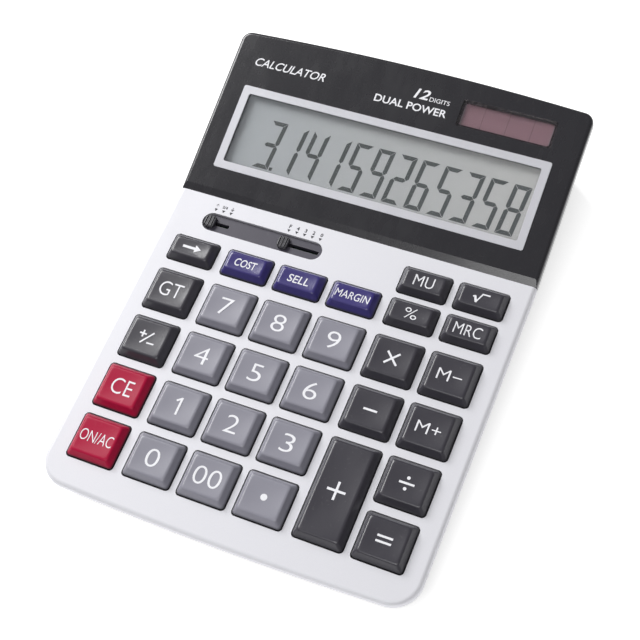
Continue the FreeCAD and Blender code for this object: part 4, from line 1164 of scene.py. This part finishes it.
class Keyboard:
    """Keys of the silver cover with their printed legends, and the marks over the two switches."""

    def __init__(self, face: Face, shared: Shared) -> None:
        """Keeps the keyboard face and builds the key finishes, with painted shade at their feet."""
        self.face = face
        self.finishes = {shade: finish.build(shared) for shade, finish in KEY_FINISHES.items()}
        self.ink = WHITE_INK.build(shared)
        self.marks_ink = GREY_INK.build(shared)
        self.level = face.measure("keyboard_cover").high[2]
        # Paints shade into each key finish: its colour darkens to the painted gap shade at the foot.
        foot = painted_gap_shade_group(face, self.level)
        for material in self.finishes.values():
            tree = Tree(material.node_tree)
            shader = material.node_tree.nodes["Principled BSDF"]
            # The key's own colour, before the painted gap shade goes over it.
            clean = shader.inputs["Base Color"].links[0].from_socket
            clear = shared.use(tree, foot).outputs["Clear"]
            tree.feed(shader, Base_Color=tree.blend(clear, PAINTED_GAP_SHADE, clean))

    def build(self) -> None:
        """Builds every key and the marks over the switch slot."""
        for name, (shade, legend) in KEYS.items():
            self.build_key(name, shade, legend)
        self.build_marks()

    def build_key(self, name: str, shade: Shade, legend: Print) -> None:
        """Builds one key cap and its legend.

        Args:
            name: CAD node of the key, which is also its body
            shade: colour of the key
            legend: what is printed on it
        """
        room = self.face.measure(name)
        cap = KeyCap(
            half_width=room.size[0] / 2 / MM - KeyCap.tab[0],
            half_depth=room.size[1] / 2 / MM,
            bottom=(room.low[2] - self.level) / MM,
            rise=(room.high[2] - self.level) / MM,
        )
        place = (room.centre[0], room.centre[1], self.level)
        make_piece(
            name.replace("key_", "cap_"),
            cap.skin().shifted(*place).laid(self.face),
            name,
            self.finishes[shade],
            stands_for=(name,),
        )
        ink = legend.skin(LEGEND_DEPTH)
        height = cap.crown(ink.points[:, 0] / MM, ink.points[:, 1] / MM) * MM
        ink.points[:, 2] += height + LEGEND_LIFT
        laid = ink.shifted(*place).laid(self.face)
        make_piece(name.replace("key_", "legend_"), laid, name, self.ink, smooth=False)

    def build_marks(self) -> None:
        """Prints the triangles and the small legends over the switch slot."""
        rounding = self.face.measure("rounding_knob").centre
        decimal = self.face.measure("decimal_knob").centre
        arrow = Print(points=((0.0, -0.6), (0.65, 0.5), (-0.65, 0.5))).skin(PRINT_DEPTH)
        parts = []
        groups = (
            (rounding[0], MARK_PITCH[0], ("↑", "5/4", "↓")),
            (decimal[0], MARK_PITCH[1], ("F", "4", "3", "2", "0")),
        )
        for start, pitch, words in groups:
            for index, word in enumerate(words):
                x = start / MM + index * pitch
                parts.append(arrow.shifted(x * MM, rounding[1] + MARK_ARROW * MM))
                tall = 1.5 if len(word) == 1 else 1.2
                letters = Print(word, 0.0, tall, bold=0.03).skin(PRINT_DEPTH)
                parts.append(letters.shifted(x * MM, rounding[1] + MARK_WORD * MM))
        laid = joined(parts).shifted(0, 0, self.level + PRINT_LIFT).laid(self.face)
        make_piece("switch_marks", laid, "case", self.marks_ink, smooth=False)


# Display

SEGMENTS = {
    "0": "abcdef",
    "1": "bc",
    "2": "abdeg",
    "3": "abcdg",
    "4": "bcfg",
    "5": "acdfg",
    "6": "acdefg",
    "7": "abc",
    "8": "abcdefg",
    "9": "abcdfg",
}


@dataclass(frozen=True)
class Digits:
    """Seven-segment digits of the display, in millimetres.

    Args:
        text: twelve digits shown
        pitch: distance between digits
        width: width over the outer edges of a digit
        height: height over the outer edges of a digit
        bar: width of a segment
        gap: gap between neighbouring segments
        lean: degrees that the digits lean
        point_after: digits before the decimal point
    """

    text: str = "314159265358"
    pitch: float = 8.73
    width: float = 6.5
    height: float = 19.5
    bar: float = 1.62
    gap: float = 0.1
    lean: float = 4.5
    point_after: int = 1

    def segment(self, name: str) -> np.ndarray:
        """Corners of one segment, anticlockwise, with the digit's middle at the origin.

        The outer edge of each bar is its full length, and its ends are cut at 45 degrees so
        that neighbours meet on a diagonal. The middle bar is pointed at both ends.
        """
        w, h, t, g = self.width / 2, self.height / 2, self.bar, self.gap
        flat = {
            "a": [(-w + g, h), (-w + g + t, h - t), (w - g - t, h - t), (w - g, h)],
            "d": [(-w + g, -h), (w - g, -h), (w - g - t, -h + t), (-w + g + t, -h + t)],
            "g": [
                (-w + g + t / 2, 0),
                (-w + g + t, -t / 2),
                (w - g - t, -t / 2),
                (w - g - t / 2, 0),
                (w - g - t, t / 2),
                (-w + g + t, t / 2),
            ],
            "b": [(w - t, h - g - t), (w - t, t / 2 + g), (w - t / 2, g), (w, g + t / 2), (w, h - g)],
        }
        if name in flat:
            return np.array(flat[name])
        right = np.array(flat["b"])
        flips = {"c": (1, -1), "f": (-1, 1), "e": (-1, -1)}
        flipped = right * np.array(flips[name])
        return flipped if name == "e" else flipped[::-1]

    def skin(self, last: tuple[float, float], low: float, high: float) -> Skin:
        """Every lit segment and the decimal point.

        Args:
            last: middle of the last digit, in millimetres
            low: bottom level in metres
            high: top level in metres

        Returns:
            the skin in metres
        """
        parts = []
        slope = math.tan(math.radians(self.lean))
        for index, shown in enumerate(self.text):
            x = last[0] - (len(self.text) - 1 - index) * self.pitch
            shapes = [self.segment(name) for name in SEGMENTS[shown]]
            if index + 1 == self.point_after:
                half = 0.4 * self.bar
                corner = np.array([(-half, -half), (half, -half), (half, half), (-half, half)])
                shapes.append(corner + (self.pitch / 2 - 0.1, -self.height / 2 + half))
            for shape in shapes:
                leaned = shape + np.outer(shape[:, 1], [slope, 0])
                corners = (leaned + np.array([x, last[1]])) * MM
                parts.append(slab(corners, low, high))
        return joined(parts)


class Display:
    """Dark cover with its trim, clear windows, LCD digits, solar cell and printing."""

    def __init__(self, face: Face, shared: Shared) -> None:
        """Keeps the display face and builds the inks."""
        self.face = face
        self.shared = shared
        self.ink = WHITE_INK.build(shared)
        self.trim = face.measure("display_frame")

    def build(self) -> None:
        """Builds the digits, the printing and the finishes of the display."""
        self.build_digits()
        self.build_printing()
        solar = self.face.measure("solar_cell")
        film = SolarFilm("solar_film", solar.low[0], solar.size[0])
        dress("solar_cell", film.build(self.shared))
        clear = Clear("clear_window", srgb(246, 248, 247)).build(self.shared)
        dress("display_window", clear)
        tinted = Clear("solar_clear", srgb(226, 218, 220), 0.08).build(self.shared)
        dress("solar_window", tinted)
        # LCD glass darker at the left and lighter at the right: painted light and shade.
        dress("lcd_cell", self.fade("lcd_glass", srgb(128, 129, 135), srgb(154, 151, 152)))
        dress("display_frame", TRIM.build(self.shared))
        dress("display_cover", CHARCOAL.build(self.shared))

    def fade(self, name: str, left: Colour, right: Colour) -> bpy.types.Material:
        """Material that fades between two colours across the display: painted light and shade."""
        ends = (float(self.trim.low[0]), float(self.trim.high[0]))
        return Fade(name, *ends, (left, right)).build(self.shared)

    def build_digits(self) -> None:
        """Lays the digits on the LCD glass."""
        glass = self.face.measure("lcd_cell")
        low = glass.high[2] - SEGMENT_SINK
        inset, rise = LAST_DIGIT
        right = (self.trim.high[0] / MM - inset, self.trim.low[1] / MM + rise)
        laid = Digits().skin(right, low, low + SEGMENT_DEPTH).laid(self.face)
        # Segments darker at the left and lighter at the right: painted light and shade.
        ink = self.fade("lcd_segment", srgb(16, 20, 24), srgb(48, 50, 54))
        make_piece("lcd_digits", laid, "case", ink, smooth=False)

    def build_printing(self) -> None:
        """Prints the words on the dark cover."""
        level = self.face.measure("display_cover").high[2]
        near = self.trim.low[1]
        lines = (
            (Print("CALCULATOR", 29.0, 3.3, bold=0.008, slant=0.25), -46.0, 44.7),
            (Print("12", 6.0, 4.0, bold=0.02, slant=0.25), 6.7, 47.8),
            (Print("DIGITS", 7.9, 1.7, bold=0.005), 13.9, 46.6),
            (Print("DUAL POWER", 28.4, 3.0, bold=0.015), 3.8, 42.3),
        )
        parts = [
            words.skin(PRINT_DEPTH).shifted(x * MM, near + y * MM, level + PRINT_LIFT)
            for words, x, y in lines
        ]
        make_piece("cover_printing", joined(parts).laid(self.face), "case", self.ink, smooth=False)


# Studio


@dataclass(frozen=True)
class Lamp:
    """A soft rectangular lamp that looks at the object.

    Args:
        name: name of the lamp
        place: where it stands
        size: width and height
        power: power in watts
        colour: colour of its light
    """

    name: str
    place: tuple[float, float, float]
    size: tuple[float, float]
    power: float
    colour: tuple[float, float, float] = (1.0, 1.0, 1.0)

    def build(self, target: Vector) -> None:
        """Adds the lamp, turned to the target."""
        light = bpy.data.lights.new(self.name, "AREA")
        light.shape = "RECTANGLE"
        light.size, light.size_y = self.size
        light.energy = self.power
        light.color = self.colour
        holder = bpy.data.objects.new(self.name, light)
        holder.location = self.place
        holder.rotation_euler = (target - Vector(self.place)).to_track_quat("-Z", "Y").to_euler()
        bpy.context.scene.collection.objects.link(holder)


@dataclass(frozen=True)
class Studio:
    """Pale floor, soft lamps, even surroundings and the camera.

    Args:
        camera_place: where the camera stands
        camera_right: direction to the right of the picture
        camera_up: direction to the top of the picture
        lens: focal length in millimetres
        surroundings: strength of the even light from all round
        floor_glow: light that the pale floor gives off, like the top of a light table
    """

    camera_place: tuple = (0.1449, -0.20889, 0.42994)
    camera_right: tuple = (0.912785, 0.388275, -0.126750)
    camera_up: tuple = (-0.280062, 0.820872, 0.497730)
    lens: float = 76.511
    surroundings: float = 0.25
    floor_glow: float = 0.62
    lamps: tuple = (
        Lamp("soft_left", (-1.42, 0.72, 1.35), (1.0, 1.0), 40.0),
        Lamp("soft_front", (0.10, -0.80, 1.45), (0.8, 0.8), 9.0),
    )

    def build(self) -> None:
        """Builds the floor, the lamps, the surroundings and the camera."""
        scene = bpy.context.scene
        scene.view_settings.view_transform = "Standard"
        world = bpy.data.worlds.new("studio")
        world.use_nodes = True
        back = world.node_tree.nodes["Background"]
        back.inputs["Color"].default_value = (1.0, 1.0, 1.0, 1.0)
        back.inputs["Strength"].default_value = self.surroundings
        scene.world = world
        low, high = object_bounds()
        for lamp in self.lamps:
            lamp.build((low + high) / 2)
        self.build_floor()
        self.build_camera()

    def build_floor(self) -> None:
        """Adds a pale floor under the feet."""
        half = 3.0
        mesh = bpy.data.meshes.new("floor")
        corners = [(-half, -half, 0), (half, -half, 0), (half, half, 0), (-half, half, 0)]
        mesh.from_pydata(corners, [], [(0, 1, 2, 3)])
        floor = bpy.data.objects.new("floor", mesh)
        material, tree, shader = new_material("floor_paper")
        noise = tree.feed(
            tree.node("TexNoise"), Vector=tree.node("TexCoord").outputs["Object"], Scale=30.0
        )
        pale = tree.blend(noise.outputs["Fac"], (0.93, 0.93, 0.93, 1.0), (0.95, 0.95, 0.95, 1.0))
        tree.feed(
            shader,
            Base_Color=pale,
            Roughness=0.9,
            Specular_IOR_Level=0.0,
            Emission_Color=(1.0, 1.0, 1.0, 1.0),
            Emission_Strength=self.floor_glow,
        )
        mesh.materials.append(material)
        bpy.context.scene.collection.objects.link(floor)
        floor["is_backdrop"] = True

    def build_camera(self) -> None:
        """Adds the camera from its right and up directions."""
        right, up = Vector(self.camera_right).normalized(), Vector(self.camera_up).normalized()
        back = right.cross(up)
        data = bpy.data.cameras.new("camera")
        data.lens = self.lens
        data.sensor_width = 36.0
        data.clip_start = 0.01
        camera = bpy.data.objects.new("camera", data)
        axes = Matrix((right, up, back)).transposed().to_4x4()
        camera.matrix_world = Matrix.Translation(self.camera_place) @ axes
        bpy.context.scene.collection.objects.link(camera)
        bpy.context.scene.camera = camera


def keyboard_tilt() -> float:
    """Slope of the keyboard, from the direction in which its keys travel."""
    joint = next(j for j in frame["joints"] if j["name"] == "key_0_press")
    _, y, z = joint["axis"]
    return math.atan2(y, -z)


def main() -> None:
    """Builds the finishes, the keyboard, the display and the studio in order."""
    logging.basicConfig(level=logging.INFO, format="%(name)s %(message)s")
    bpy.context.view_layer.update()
    shared = Shared()
    dress("keyboard_cover", SILVER.build(shared))
    built = {}
    for node, finish in PLAIN_FINISHES.items():
        built[node] = finish.build(shared)
        dress(node, built[node])
    for node, source in SHARED_FINISH.items():
        dress(node, built[source])
    tilt = keyboard_tilt()
    Keyboard(Face(tilt), shared).build()
    Display(Face(tilt + DISPLAY_TILT), shared).build()
    Studio().build()


if __name__ == "__main__":
    main()
